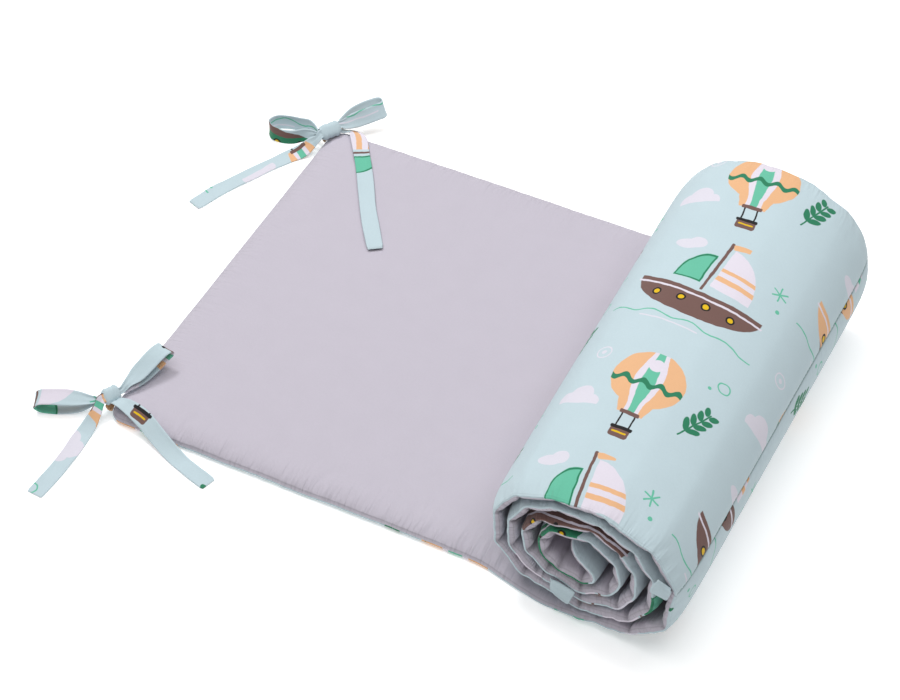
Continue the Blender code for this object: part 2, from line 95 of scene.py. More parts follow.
# Fineness of the cloth: spacing of rows along the strip, and where its columns lie from each edge
FLAT_STEP, ROLL_STEP = 0.0021, 0.0025
FLAT_END = 0.42
ROW_CLEARANCE = 0.001
END_ROWS = (0, 0.0006, 0.0014, 0.0026, 0.0042, 0.0062, 0.0085, 0.0112, 0.0142)
SEAM_ROWS = (-0.0046, -0.0028, -0.0016, -0.0007, 0, 0.0007, 0.0016, 0.0028, 0.0046)
EDGE_COLUMNS = (0, 0.6, 1.4, 2.6, 4.2, 6.2, 8.6, 11.4, 14.6, 18.4, 23, 28, 34, 42, 52, 64, 78, 94)
MIDDLE_COLUMNS = (0.112, 11)  # from each edge, and how many
PATH_STEP = 0.0005


def ease(value):
    value = np.clip(value, 0.0, 1.0)
    return value * value * (3 - 2 * value)


def puff(distance, reach):
    left = 1 - np.clip(distance / reach, 0.0, 1.0)
    return np.sqrt(1 - left * left)


def distances(points):
    """How far along a line each of its points is."""
    return np.concatenate([[0], np.cumsum(np.linalg.norm(np.diff(points, axis=0), axis=1))])


QUARTERS = np.array(((0, -1), (1, 0), (0, 1), (-1, 0)), float)
REACHES = [ROLL_Z - ROLL_THICKNESS / 2]
for row in TURNS:
    REACHES += [row.right, row.top, row.left, row.bottom]
LAST_ANGLE = 360 * len(TURNS) - 90
FOLDS = [-90] + [fold + 360 * i for i, row in enumerate(TURNS) for fold in row.folds]
FOLDS = sorted(set(FOLDS + [LAST_ANGLE]))


def spiral(angle):
    """Middle of the cloth at a winding angle, from the roll's middle, with no folds."""
    quarter = min(int((angle + 90) // 90), len(REACHES) - 2)
    part = radians(angle + 90 - 90 * quarter)
    start = QUARTERS[quarter % 4] * REACHES[quarter] * max(cos(part), 0.0) ** SQUARENESS
    end = QUARTERS[(quarter + 1) % 4] * REACHES[quarter + 1] * max(sin(part), 0.0) ** SQUARENESS
    return start + end


def folded(angle):
    """The same with flat stretches from fold to fold."""
    k = int(np.clip(np.searchsorted(FOLDS, angle) - 1, 0, len(FOLDS) - 2))
    share = (angle - FOLDS[k]) / (FOLDS[k + 1] - FOLDS[k])
    return spiral(FOLDS[k]) * (1 - share) + spiral(FOLDS[k + 1]) * share


def smoothed(values, reach):
    """Running mean over 2 * reach + 1 values, with both ends kept."""
    wide = np.pad(values, [(reach, reach)] + [(0, 0)] * (values.ndim - 1), mode="edge")
    total = np.cumsum(np.concatenate([np.zeros_like(wide[:1]), wide]), axis=0)
    mean = (total[2 * reach + 1 :] - total[: -2 * reach - 1]) / (2 * reach + 1)
    mean[0], mean[-1] = values[0], values[-1]
    return mean


def strip_path():
    """The strip's middle line in fine steps: smooth and folded, whether it lies, and its folds."""
    middle = np.array((ROLL_X, ROLL_Z))
    rows = []  # smooth place, folded place, how far it lies, winding angle

    def add(smooth, fold=None, lying=0.0, angle=np.nan):
        rows.append((*smooth, *(smooth if fold is None else fold), lying, angle))

    for x in np.arange(0, ROLL_X, LYING_STEP):
        share = ease((x - LIFT_X[0]) / (LIFT_X[1] - LIFT_X[0]))
        thick = FLAT_THICKNESS + (ROLL_THICKNESS - FLAT_THICKNESS) * share
        add((x, thick / 2), lying=1 - ease((x - LAST_LYING) / (ROLL_X - LAST_LYING)))
    for angle in np.arange(-90, LAST_ANGLE + 0.1, ANGLE_STEP):
        add(middle + spiral(angle), middle + folded(angle), angle=angle)
    for angle in range(*FLAP_ANGLES):
        way = np.array((cos(radians(angle)), sin(radians(angle))))
        add(middle + FLAP_BEND + FLAP_BEND_RADIUS * way)
    start, end = np.array(rows[-1][:2]), middle + FLAP_END
    for share in np.linspace(*FLAP_SHARES):
        add(start * (1 - share) + end * share)

    table = np.array(rows, float)
    along = distances(table[:, :2])
    wound = ~np.isnan(table[:, 5])
    angles, places = table[wound, 5], along[wound]
    fold_places = np.interp([f for f in FOLDS if f > -90], angles, places)
    seam_places = np.interp(CROSS_SEAMS, angles, places)
    even = np.append(np.arange(0, along[-1], PATH_STEP), along[-1])
    columns = [np.interp(even, along, table[:, k]) for k in range(5)]
    smooth = smoothed(np.stack(columns[:2], 1), SMOOTH_REACH)
    fold = np.stack(columns[2:4], 1)
    for reach in FOLD_REACHES:
        fold = smoothed(fold, reach)
    return even, smooth, fold, columns[4], fold_places, seam_places


ALONG, SMOOTH, FOLDED, LYING, FOLD_PLACES, SEAM_PLACES = strip_path()
LENGTH = float(ALONG[-1])


def row_places():
    """Distances along the strip of its rows of points."""
    body = list(np.arange(END_ROWS[-1] + FLAT_STEP, FLAT_END, FLAT_STEP))
    body += list(np.arange(FLAT_END, LENGTH - END_ROWS[-1] - ROLL_STEP / 2, ROLL_STEP))
    for place in SEAM_PLACES:
        body = [v for v in body if abs(v - place) > SEAM_ROWS[-1] + ROW_CLEARANCE]
        body += [place + step for step in SEAM_ROWS]
    return np.array(sorted(list(END_ROWS) + body + [LENGTH - v for v in END_ROWS]))


def column_places():
    """Distances across the strip of its columns of points."""
    edge = [v * MM for v in EDGE_COLUMNS]
    first, count = MIDDLE_COLUMNS
    middle = list(np.linspace(first, WIDTH - first, count))
    return np.array(edge + middle + [WIDTH - v for v in reversed(edge)])


ROWS, COLUMNS = row_places(), column_places()
U, V = ROWS[:, None], COLUMNS[None, :]
EDGE = np.minimum(V, WIDTH - V)
END = np.minimum(U, LENGTH - U)


# ---------------------------------------------------------------- wrinkles

# Puckers that run in from a seam: their spacing, how far they reach, and how deep they are
Puckers = namedtuple("Puckers", "pitch reach depth")
# A valley's spacing and width are drawn as shares of the pitch, then its reach and depth as of theirs
SPACING, VALLEY_WIDTH, VALLEY_REACH, VALLEY_DEPTH = (0.45, 1.6), (0.16, 0.34), (0.45, 1.5), (0.25, 1.0)
SLANT, BEND, WIDENING = 0.35, 0.006, 0.6
VALLEY_START, VALLEY_FADE = 0.0022, 1.5
FACE_DEPTH = {1: 0.0016, -1: 0.0011}  # at the near edge, of the grey face and of the printed one
NEAR_PUCKERS = Puckers(0.0095, 0.015, 1.0)  # the first three depths are shares of that
FAR_PUCKERS = Puckers(0.0105, 0.014, 0.8)
END_PUCKERS = Puckers(0.011, 0.013, 0.8)
CROSS_PUCKERS = Puckers(0.0085, 0.0075, 0.0005)  # and this one is in metres
CROSS_REACH, AWAY = 0.05, 9.0  # puckers of a cross seam end here; a place too far for any
PRINT_SEED = 50  # keeps the printed face's wrinkles apart from the grey face's
NOISE_GRID = (400, 64)
NOISE_START = 3  # keeps small negative places inside the grid

# Soft lumps: height, size and seed
Lumps = namedtuple("Lumps", "height size seed")
SOFT_LUMPS = (Lumps(0.0010, 0.075, 11), Lumps(0.0005, 0.028, 12))
SOFT_REACH = 0.03
ROLLED_SOFTNESS = 0.45  # share of them left where the strip is rolled
SEAM_CRUMPLE = (Lumps(0.0018, 0.019, 21), Lumps(0.0009, 0.0065, 22))
EDGE_WAVER = (Lumps(0.0020, 0.021, 23), Lumps(0.0012, 0.006, 24))


def lumps(size, seed):
    """Smooth noise from 0 to 1 over the strip, with lumps of about this size in metres."""
    grid = np.random.default_rng(seed).random(NOISE_GRID)
    a, b = U / size + NOISE_START, V / size + NOISE_START
    i, j = np.floor(a).astype(int), np.floor(b).astype(int)
    s, t = ease(a - i), ease(b - j)
    g = lambda p, q: grid[p % NOISE_GRID[0], q % NOISE_GRID[1]]
    low = g(i, j) * (1 - s) + g(i + 1, j) * s
    high = g(i, j + 1) * (1 - s) + g(i + 1, j + 1) * s
    return low * (1 - t) + high * t


def uneven(layers):
    """Lumps of several sizes, about 0."""
    return sum(layer.height * (lumps(layer.size, SEED + layer.seed) - 0.5) for layer in layers)


def puckers(run, away, kind, seed, depth=1.0):
    """Short valleys that run in from a seam: run is the way along it and away the distance from it."""
    rng = np.random.default_rng(seed)
    total = np.zeros(np.broadcast(run, away).shape)
    place = float(run.min())
    while place < float(run.max()):
        place += kind.pitch * rng.uniform(*SPACING)
        wide = kind.pitch * rng.uniform(*VALLEY_WIDTH)
        long = kind.reach * rng.uniform(*VALLEY_REACH)
        deep = depth * kind.depth * rng.uniform(*VALLEY_DEPTH)
        slant, bow = rng.uniform(-SLANT, SLANT), rng.uniform(-BEND, BEND)
        shift = place + slant * away + bow * np.sin(away / kind.reach * 2)
        ridge = np.exp(-(((run - shift) / (wide * (1 + away / kind.reach * WIDENING))) ** 2))
        fade = np.clip(away / VALLEY_START, 0, 1) * np.exp(-((away / long) ** VALLEY_FADE))
        total += deep * ridge * fade
    return total


def wrinkles(side):
    """How far a face rises or sinks, rows by columns. side is 1 for the grey and -1 for the print."""
    seed = SEED + (0 if side > 0 else PRINT_SEED)
    deep = FACE_DEPTH[side]
    out = -puckers(U, V + 0 * U, NEAR_PUCKERS, seed, deep)
    out -= puckers(U, WIDTH - V + 0 * U, FAR_PUCKERS, seed + 1, deep)
    out -= puckers(V, U + 0 * V, END_PUCKERS, seed + 2, deep)
    for k, place in enumerate(SEAM_PLACES):
        for way in (1, -1):
            away = (U - place) * way + 0 * V
            near = (away > 0) & (away < CROSS_REACH)
            out -= puckers(V, np.where(near, away, AWAY), CROSS_PUCKERS, seed + 5 + 2 * k + way)
    lying = np.interp(ROWS, ALONG, LYING)[:, None]
    soft = sum(layer.height * lumps(layer.size, seed + layer.seed) for layer in SOFT_LUMPS)
    out -= puff(EDGE, SOFT_REACH) * soft * (ROLLED_SOFTNESS + (1 - ROLLED_SOFTNESS) * lying)
    return out


# ---------------------------------------------------------------- the pad


FAR_FOLD_FADE = 0.15
LIFT_START, LIFT_RUN = 0.33, 0.08  # the strip leans with the roll from here on
WAVER_FADE = 0.008
CALM_CRUMPLE, CALM_WAVER = 0.6, 0.75  # shares gone where the strip lies


def strip_line():
    """The strip's middle line at each column, and its half thickness."""
    pick = lambda v: np.interp(ROWS, ALONG, v)
    smooth = np.stack([pick(SMOOTH[:, 0]), pick(SMOOTH[:, 1])], 1)[:, None]
    fold = np.stack([pick(FOLDED[:, 0]), pick(FOLDED[:, 1])], 1)[:, None]
    lying = pick(LYING)[:, None, None]
    share = MIDDLE_FOLD + (1 - MIDDLE_FOLD) * np.exp(-V / FOLD_FADE)
    share = (share - FAR_FOLD * np.exp(-(WIDTH - V) / FAR_FOLD_FADE))[..., None]
    line = smooth * (1 - share) + fold * share
    pinch = np.exp(-EDGE / PINCH_FADE)
    across = V / WIDTH - 0.5
    wide = (1 + WIDER * across) * (1 - END_PINCH[0] * pinch)
    floor = ROLL_THICKNESS / 2
    x = ROLL_X + (line[..., 0] - ROLL_X) * wide
    z = floor + (line[..., 1] - floor) * (1 + TALLER * across)
    z = z + (ROLL_Z - z) * END_PINCH[1] * pinch
    line = line * lying + np.stack([x, z], -1) * (1 - lying)
    lying = lying[..., 0]
    half = np.where(lying > 0, smooth[..., 1] * (lying > 0), ROLL_THICKNESS / 2)
    return line, lying, np.clip(half, ROLL_THICKNESS / 2, FLAT_THICKNESS / 2)


def strip_sides(line, lying):
    """Each point's place from side to side: rounded corners, wavering edges and a leaning roll."""
    gone = np.clip(CORNER_RADIUS - END, 0, None)
    corner = CORNER_RADIUS - np.sqrt(CORNER_RADIUS**2 - gone**2)
    side = np.where(V < WIDTH / 2, 1, -1)
    y = V - WIDTH / 2
    y = y + corner * side * np.clip(1 - EDGE / CORNER_RADIUS, 0, None)
    y = y + side * uneven(EDGE_WAVER) * np.exp(-EDGE / WAVER_FADE) * (1 - CALM_WAVER * lying)
    down = TILT * (ROLL_Z + TURNS[0].top - line[..., 1])
    lifted = np.where(lying > 0, ease((line[..., 0] - LIFT_START) / LIFT_RUN), 1.0)
    return y - SKEW * np.clip(line[..., 0] - (ROLL_X - TURNS[0].left), 0, None) - down * lifted


def pad_faces():
    """Upper (grey) and lower (printed) points of the strip, rows by columns."""
    line, lying, half = strip_line()
    y = strip_sides(line, lying)
    way = np.gradient(line, axis=0)
    way /= np.linalg.norm(way, axis=-1, keepdims=True)
    normal = np.stack([-way[..., 1], way[..., 0]], -1)
    gaps = (U - FOLD_PLACES[None]) / CREASE_WIDTH
    crease = np.exp(-(gaps**2)).max(1)[:, None] * np.exp(-EDGE / FOLD_FADE)
    shift = SEAM_SHIFT[0] * (1 - lying) + SEAM_SHIFT[1] * lying
    shift = shift + uneven(SEAM_CRUMPLE) * (1 - CALM_CRUMPLE * lying)
    faces = []
    for face in (1, -1):
        wall = PUFF if face < 0 else PUFF * lying + WALL * (1 - lying)
        edge = puff(EDGE, wall) * puff(END, PUFF)
        full = edge
        for place in SEAM_PLACES:
            beside = puff(np.abs(U - place), CROSS_PUFF)
            full = full * (CROSS_SEAM_SHARE + (1 - CROSS_SEAM_SHARE) * beside)
        reach = SEAM_THICKNESS / 2 + (half - SEAM_THICKNESS / 2) * full
        if face > 0:
            reach = reach * (1 - CREASE * crease)
        reach = np.maximum(reach + wrinkles(face) * np.sqrt(full), SEAM_THICKNESS / 2)
        point = line + face * normal * (reach - face * shift * (1 - edge))[..., None]
        faces.append(np.stack([point[..., 0], y, point[..., 1]], -1))
    return faces


UPPER, LOWER = pad_faces()
SHIFT = np.array((-0.22558, 0.02942, 0.0))  # from the strip's own place to the frame's

# The sewn edge stands out as a thin roll: outward, and up or down, in mm
BEAD = ((0.30, 0.80), (0.60, 0.40), (0.65, -0.15), (0.50, -0.70), (0.20, -1.0))


def rim(rows, columns):
    """Grid places around the strip's edge, in order."""
    places = [(i, 0) for i in range(rows)]
    places += [(rows - 1, j) for j in range(1, columns)]
    places += [(i, columns - 1) for i in range(rows - 2, -1, -1)]
    places += [(0, j) for j in range(columns - 2, 0, -1)]
    return places


# Where each length of printed cloth was cut: the print is offset from seam to seam, in metres
CUTS = ((0.031, 0.022), (0.093, 0.071), (0.048, 0.115))


def put(name, data):
    """A new object in the scene."""
    item = bpy.data.objects.new(name, data)
    bpy.context.scene.collection.objects.link(item)
    return item


def make_mesh(name, points, faces, kinds, uvs, finishes):
    """A smooth mesh with a flat map named Cloth, and its finishes by face."""
    mesh = bpy.data.meshes.new(name)
    mesh.from_pydata([tuple(p) for p in points], [], faces)
    for finish in finishes:
        mesh.materials.append(finish)
    mesh.polygons.foreach_set("material_index", np.array(kinds, dtype=np.int32))
    layer = mesh.uv_layers.new(name="Cloth")
    layer.data.foreach_set("uv", np.asarray(uvs, dtype=np.float32).ravel())
    mesh.shade_smooth()
    mesh.update()
    return put(name, mesh)


def bead_rings(at, inner):
    """Rings of points round the sewn edge, at the grid places at, outward from those at inner."""
    high, deep = UPPER[at], LOWER[at]
    middle = (high + deep) / 2
    up = high - deep
    half = np.linalg.norm(up, axis=1, keepdims=True) / 2
    up /= 2 * half
    out = middle - (UPPER[inner] + LOWER[inner]) / 2
    out -= up * (out * up).sum(1, keepdims=True)
    out /= np.linalg.norm(out, axis=1, keepdims=True)
    return [middle + out * away * MM + up * rise * half for away, rise in BEAD]


def make_pad(grey, printed):
    """The strip: a grey and a printed face, joined by the bead of its sewn edge."""
    rows, columns = UPPER.shape[:2]
    count = rows * columns
    top = np.arange(count).reshape(rows, columns)
    edge = np.array(rim(rows, columns))
    at = tuple(edge.T)
    beads = bead_rings(at, tuple(np.clip(edge, 1, (rows - 2, columns - 2)).T))
    points = np.concatenate([UPPER.reshape(-1, 3), LOWER.reshape(-1, 3)] + beads) + SHIFT
    flat = np.stack(np.broadcast_arrays(U, V), -1)
    flat = np.concatenate([flat.reshape(-1, 2)] * 2 + [flat[at]] * len(BEAD))

    a, b, c, d = top[:-1, :-1], top[1:, :-1], top[1:, 1:], top[:-1, 1:]
    faces = [np.stack([a, b, c, d], -1).reshape(-1, 4)]
    faces.append(np.stack([a, d, c, b], -1).reshape(-1, 4) + count)
    kinds = [np.zeros(len(faces[0])), np.ones(len(faces[1]))]
    rings = [2 * count + k * len(edge) + np.arange(len(edge)) for k in range(len(BEAD))]
    loops = [top[at]] + rings + [top[at] + count]
    for k, (first, second) in enumerate(zip(loops, loops[1:])):
        faces.append(np.stack([first, second, np.roll(second, -1), np.roll(first, -1)], -1))
        kinds.append(np.full(len(edge), min(k, 1)))
    faces = np.concatenate(faces)
    uvs = flat[faces]
    piece = np.searchsorted(SEAM_PLACES, uvs[..., 0].mean(1))
    uvs = uvs + np.array(CUTS)[piece][:, None]
    made = make_mesh(
        "padded_strip", points, faces.tolist(), np.concatenate(kinds), uvs, (grey, printed)
    )

    beside = np.minimum(flat[:, 1], WIDTH - flat[:, 1])
    ends = np.minimum(flat[:, 0], LENGTH - flat[:, 0])
    seams = np.abs(flat[:, :1] - SEAM_PLACES[None]).min(1)
    # How near each point is to a fold's crease: where painted shade darkens the cloth
    folds = np.exp(-((np.abs(flat[:, :1] - FOLD_PLACES[None]).min(1) / CREASE_WIDTH) ** 2))
    folds *= np.exp(-beside / FOLD_FADE)
    for title, values in (("Side", beside), ("End", ends), ("Seam", seams), ("Fold", folds)):
        layer = made.data.attributes.new(title, "FLOAT", "POINT")
        layer.data.foreach_set("value", values.astype(np.float32))
    return made


# ---------------------------------------------------------------- ties, as in the solids

TAPE_THICKNESS = 0.0016
GAP = 0.0003
TAPE_STEPS = 9  # from stop to stop
LEAST_STEP = 0.0001  # an edge never turns back in a tight bend
KNOT_LENGTH = 0.0135
KNOT_POWER = 2.8  # how square a knot's outline is
KNOT_LEAD = 0.0028
FRONT_LAYER, BACK_LAYER = 0.5, -1.2
Knot = namedtuple("Knot", "x y z bearing lean")
FAR_KNOT = Knot(2.8, 186.0, 17.4, 57, 42)
NEAR_KNOT = Knot(-3.4, -186.0, 15.6, 60, 42)

# The tapes' stops: x, y and z in mm, bearing and lean of the direction across the tape in degrees,
# and its width in mm
FAR_LOOP_LEFT = (
    (-4.6, 176.6, 17.3, 142, 47, 4.5), (-9.2, 177.4, 15.2, 132, 56, 6.5),
    (-17.4, 175.4, 12.4, 116, 70, 12), (-28, 169.8, 9.8, 104, 78, 15),
    (-40, 167.2, 8.8, 102, 80, 15), (-50, 168.6, 8.7, 104, 82, 15),
    (-55.2, 174.5, 8.7, 108, 84, 15), (-52.6, 181.6, 8.8, 104, 82, 15),
    (-43, 186.4, 9.2, 100, 80, 15), (-30, 188.2, 10, 104, 76, 15),
    (-18, 187, 11.8, 112, 66, 14), (-8.8, 182.8, 13.4, 138, 48, 5),
)
FAR_LOOP_RIGHT = (
    (12.4, 199, 19.2, 146, 46, 10), (17.4, 205.2, 19.8, 144, 48, 14),
    (26, 215.6, 20.8, 142, 50, 15), (33, 225.2, 21.5, 140, 52, 15),
    (35.4, 228.4, 21.8, 140, 52, 15), (35.9, 230.8, 22.1, 140, 52, 15),
    (34.8, 232.8, 22.4, 140, 52, 15), (32.4, 233.5, 22.7, 140, 52, 15),
    (29.9, 232.2, 22.9, 140, 52, 15), (26, 228, 22.9, 140, 52, 15),
    (19.2, 220.2, 21.8, 142, 50, 15), (12, 210.6, 19.8, 144, 48, 13),
    (9, 202.6, 18.2, 146, 46, 10),
)
FAR_TAIL_LEFT = (
    (-2.6, 172.9, 16.2, 150, 30, 7), (-7.8, 169.8, 10.6, 152, 26, 11),
    (-12.6, 164.6, 5.4, 153, 14, 14), (-19.6, 157, 1.6, 154, 4, 15),
    (-29, 142.4, 0.8, 155, 0, 15), (-45, 112, 0.8, 157, 0, 15),
    (-58, 85.5, 0.8, 158, 0, 15), (-68.5, 57.4, 0.8, 158, 0, 15),
)
FAR_TAIL_RIGHT = (
    (13.2, 197.4, 12, 132, -24, 8), (17.6, 200.4, 10.6, 108, -28, 11),
    (23.2, 198.4, 11.9, 72, -24, 14), (29.2, 192, 14, 46, -12, 15),
    (40, 176.8, 15.1, 37, 0, 15), (58.4, 149.4, 14.9, 34, 0, 15),
    (84.2, 107.6, 14.9, 35, 0, 15), (112.1, 67.8, 14.9, 35, 0, 15),
)
NEAR_LOOP_LEFT = (
    (-14.4, -196.4, 14.2, 124, 34, 7), (-24.6, -200.8, 15, 113, 24, 12),
    (-36, -205.6, 15.8, 111, 18, 15), (-48, -210.6, 15.6, 110, 18, 15),
    (-57, -214.2, 13.8, 110, 18, 15), (-60.4, -215.4, 9.6, 110, 18, 15),
    (-56.6, -213.6, 5.4, 110, 18, 15), (-48, -209.6, 3.7, 110, 18, 15),
    (-36, -204.2, 3.9, 111, 18, 15), (-25, -199.2, 6, 114, 22, 14),
    (-16.2, -195.2, 10, 124, 34, 8),
)
NEAR_LOOP_RIGHT = (
    (4.4, -171.8, 19.6, 158, 28, 8), (8, -162.6, 23, 168, 18, 14),
    (11.6, -152, 27.4, 172, 12, 15), (15, -141.4, 31.4, 173, 11, 15),
    (17.2, -135, 32.5, 173, 11, 15), (18.2, -131.9, 31.8, 173, 11, 15),
    (18.8, -130.7, 29.6, 173, 11, 15), (18.5, -131.6, 27.3, 173, 11, 15),
    (17.5, -134.6, 26, 173, 11, 15), (15.4, -142, 23, 173, 11, 15),
    (11.6, -153, 19.8, 170, 13, 15), (7.4, -164, 17.9, 166, 18, 14),
    (4.2, -172.8, 15.8, 158, 28, 8),
)
NEAR_TAIL_LEFT = (
    (-7, -198.8, 14.8, 158, 28, 8), (-7.4, -204.6, 9.8, 166, 18, 10),
    (-8.4, -211.8, 4.4, 174, 8, 13), (-9, -222, 1.1, 178, 2, 15),
    (-7.8, -242, 0.8, 180, 0, 15), (-7.6, -270, 0.8, 182, 0, 15),
    (-9.6, -296.4, 0.8, 184, 0, 15),
)
NEAR_TAIL_RIGHT = (
    (2.5, -189.4, 14.2, 60, 0, 9), (5.4, -190.9, 17, 60, 0, 10),
    (11, -191.6, 18, 61, 2, 12), (18, -192, 17, 61, 6, 14),
    (27, -193.8, 15.4, 60, 12, 15), (37, -197.2, 13.2, 60, 22, 15),
    (47, -201.4, 9.8, 61, 30, 15), (57.6, -205.8, 6.4, 63, 26, 15),
    (68, -209.8, 3.4, 65, 14, 15), (79, -213.6, 1, 67, 2, 15),
    (90, -217.2, 0.8, 70, 0, 15), (111.8, -224, 0.8, 74, 0, 15),
)
# Short tapes: a root runs from the pad's corner up to each knot, and a stub ends at each cross seam
FAR_ROOT = (
    (-0.4, 186, 4.9, 90, 0, 9), (-1.9, 186, 5.5, 90, 0, 9),
    (-2.9, 186, 7.6, 90, 0, 9), (-2.8, 186.6, 10, 90, 0, 8),
    (-2.2, 187.2, 12.4, 90, 0, 7),
)
NEAR_ROOT = (
    (0.2, -189, 4.9, 78, 0, 9), (-1.5, -189.4, 5.2, 76, 0, 9),
    (-3, -189.6, 6.4, 74, 0, 9), (-3.6, -189.2, 7.6, 72, 0, 9),
    (-3.6, -189, 8.9, 70, 0, 8),
)
FIRST_STUB = (
    (507.6, -219.8, 90, 168, 57, 14), (507.2, -221.2, 89, 168, 55, 14),
    (506.4, -222.8, 86.4, 168, 52, 15), (505.6, -223.8, 83.2, 168, 48, 15),
    (504.8, -224.8, 79.4, 168, 46, 15),
)
SECOND_STUB = (
    (413, -213, 32.2, 98, 84, 7), (414.2, -215.4, 32.8, 100, 76, 9),
    (418.2, -217, 32.7, 102, 66, 11), (425, -218.4, 31.6, 102, 60, 12),
    (433.6, -219.4, 29.6, 100, 56, 12),
)


def direction(bearing, lean=0.0):
    """The unit vector at a bearing round from +X, leaning up, in degrees."""
    level = cos(radians(lean))
    return np.array(
        (cos(radians(bearing)) * level, sin(radians(bearing)) * level, sin(radians(lean)))
    )


def unit(vector):
    return vector / np.linalg.norm(vector)


def knot_frame(knot):
    """Middle of a knot, the way it points, the direction across its tape, and the one through it."""
    along = direction(knot.bearing)
    across = direction(knot.bearing + 90, knot.lean)
    return np.array(knot[:3]) * MM, along, across, np.cross(along, across)


def knot_stops(knot, side, layer, width, shift=0.0):
    """How a tape leaves a knot: side is 1 or -1, layers lie on each other, shift is across them."""
    middle, along, across, through = knot_frame(knot)
    face = middle + along * side * (KNOT_LENGTH / 2 + GAP - KNOT_BITE)
    face = face + through * layer * (TAPE_THICKNESS + GAP) + across * shift
    points = (face, face + along * side * (KNOT_LEAD + KNOT_BITE))
    return [(*(point / MM), knot.bearing + 90, knot.lean, width) for point in points]


def smooth_stops(stops):
    """Fine stops along a smooth curve through the given ones, which may be unevenly spaced."""
    values = [np.array(stop, dtype=float) for stop in stops]
    gaps = [np.linalg.norm(b[:3] - a[:3]) for a, b in zip(values, values[1:])]
    slopes = [(b - a) / gap for a, b, gap in zip(values, values[1:], gaps)]
    turns = [slopes[0]]
    for i in range(1, len(slopes)):
        turns.append((gaps[i] * slopes[i - 1] + gaps[i - 1] * slopes[i]) / (gaps[i - 1] + gaps[i]))
    turns.append(slopes[-1])
    out = []
    for i, gap in enumerate(gaps):
        for step in range(TAPE_STEPS):
            t = step / TAPE_STEPS
            ahead = t * t * (3 - 2 * t)
            point = values[i] * (1 - ahead) + values[i + 1] * ahead
            point = point + turns[i] * t * (1 - t) ** 2 * gap
            out.append(point - turns[i + 1] * t * t * (1 - t) * gap)
    out.append(values[-1])
    return np.array(out)


# Section of a tape, from its left edge over its upper face: place across, and half its thickness.
# The folded edges are thicker than the middle.
LEFT_SECTION = ((-1.0, 0.0), (-0.965, 0.72), (-0.88, 1.0), (-0.76, 0.92), (-0.66, 0.62), (-0.3, 0.58))
UPPER_SECTION = LEFT_SECTION + ((0.0, 0.56),) + tuple((-t, h) for t, h in LEFT_SECTION[::-1])
SECTION = UPPER_SECTION + tuple((t, -h) for t, h in UPPER_SECTION[-2:0:-1])
HALF_TAPE = 0.00068  # half the thickness at the folded edges
FULL_WIDTH = 15.0
PLEAT = 0.06  # how far a tape folds up for each mm that it is narrowed by
PLEAT_WAVES = 6.6
SWING, SWING_RUN = 0.018, 0.009  # how its width varies, as a share, and over what length
LOOP_WIDTH, LOOP_RUN = 9, 5  # mm: past this width a loop turns without a twist, fully so a run on
RIPPLE = 0.0003
RIPPLE_RUN, ROCKING_RUN = 0.0062, 0.0117  # lengths of the ripples that lift and that rock a tape
RIPPLE_SLANT, ROCKING = 1.3, 0.7
RIPPLE_FADE = 0.012  # from its ends
END_SHARE, END_RUN = 0.45, 0.0007  # thickness at a cut end, and where it is full
TIP_NARROWING, TIP_RUN = 0.12, 0.0022
TAPE_CLEARANCE, KNOT_CLEARANCE = 0.0001, 0.0002  # from the floor
BACK_CUT = 0.021  # from the print on a tape's face to that on its back


class Skin:
    """Points, faces and flat places of several closed pieces of cloth."""

    def __init__(self):
        self.points, self.faces, self.uvs = [], [], []

    def add(self, rings, uv_of, caps):
        """Join rings of points. uv_of(ring, place, face) gives the flat place of a corner."""
        start = len(self.points)
        size = len(rings[0])
        for ring in rings:
            self.points.extend(ring)
        for i in range(len(rings) - 1):
            for k in range(size):
                n = (k + 1) % size
                corners = ((i, k, k), (i, n, k + 1), (i + 1, n, k + 1), (i + 1, k, k))
                self.faces.append([start + r * size + q for r, q, _ in corners])
                self.uvs.append([uv_of(r, q, k) for r, q, _ in corners])
        if caps:
            last = len(rings) - 1
            for k in range(size // 2):
                a, b, c, d = k, k + 1, (size - k - 1) % size, (size - k) % size
                for ring, order in ((0, (a, b, c, d)), (last, (d, c, b, a))):
                    order = list(dict.fromkeys(order))
                    if len(order) > 2:
                        self.faces.append([start + ring * size + q for q in order])
                        self.uvs.append([uv_of(ring, q, 0) for q in order])


def tape_edges(fine, points, along, ways, swing, loop):
    """Left and right edges of a tape, which never turn back in a tight bend."""
    edges = []
    for i, way in enumerate(ways):
        across = direction(fine[i, 3], fine[i, 4])
        even = ease((fine[i, 5] - LOOP_WIDTH) / LOOP_RUN) if loop else 0.0
        across = unit(across - way * across.dot(way) * (1 - even))
        across = across * fine[i, 5] * MM / 2 * (1 + SWING * sin(along[i] / SWING_RUN + swing))
        edges.append([points[i] - across, points[i] + across])
    for i in range(1, len(ways)):
        for k in range(2):
            step = (edges[i][k] - edges[i - 1][k]).dot(ways[i])
            edges[i][k] = edges[i][k] + ways[i] * max(LEAST_STEP - step, 0.0)
    return edges


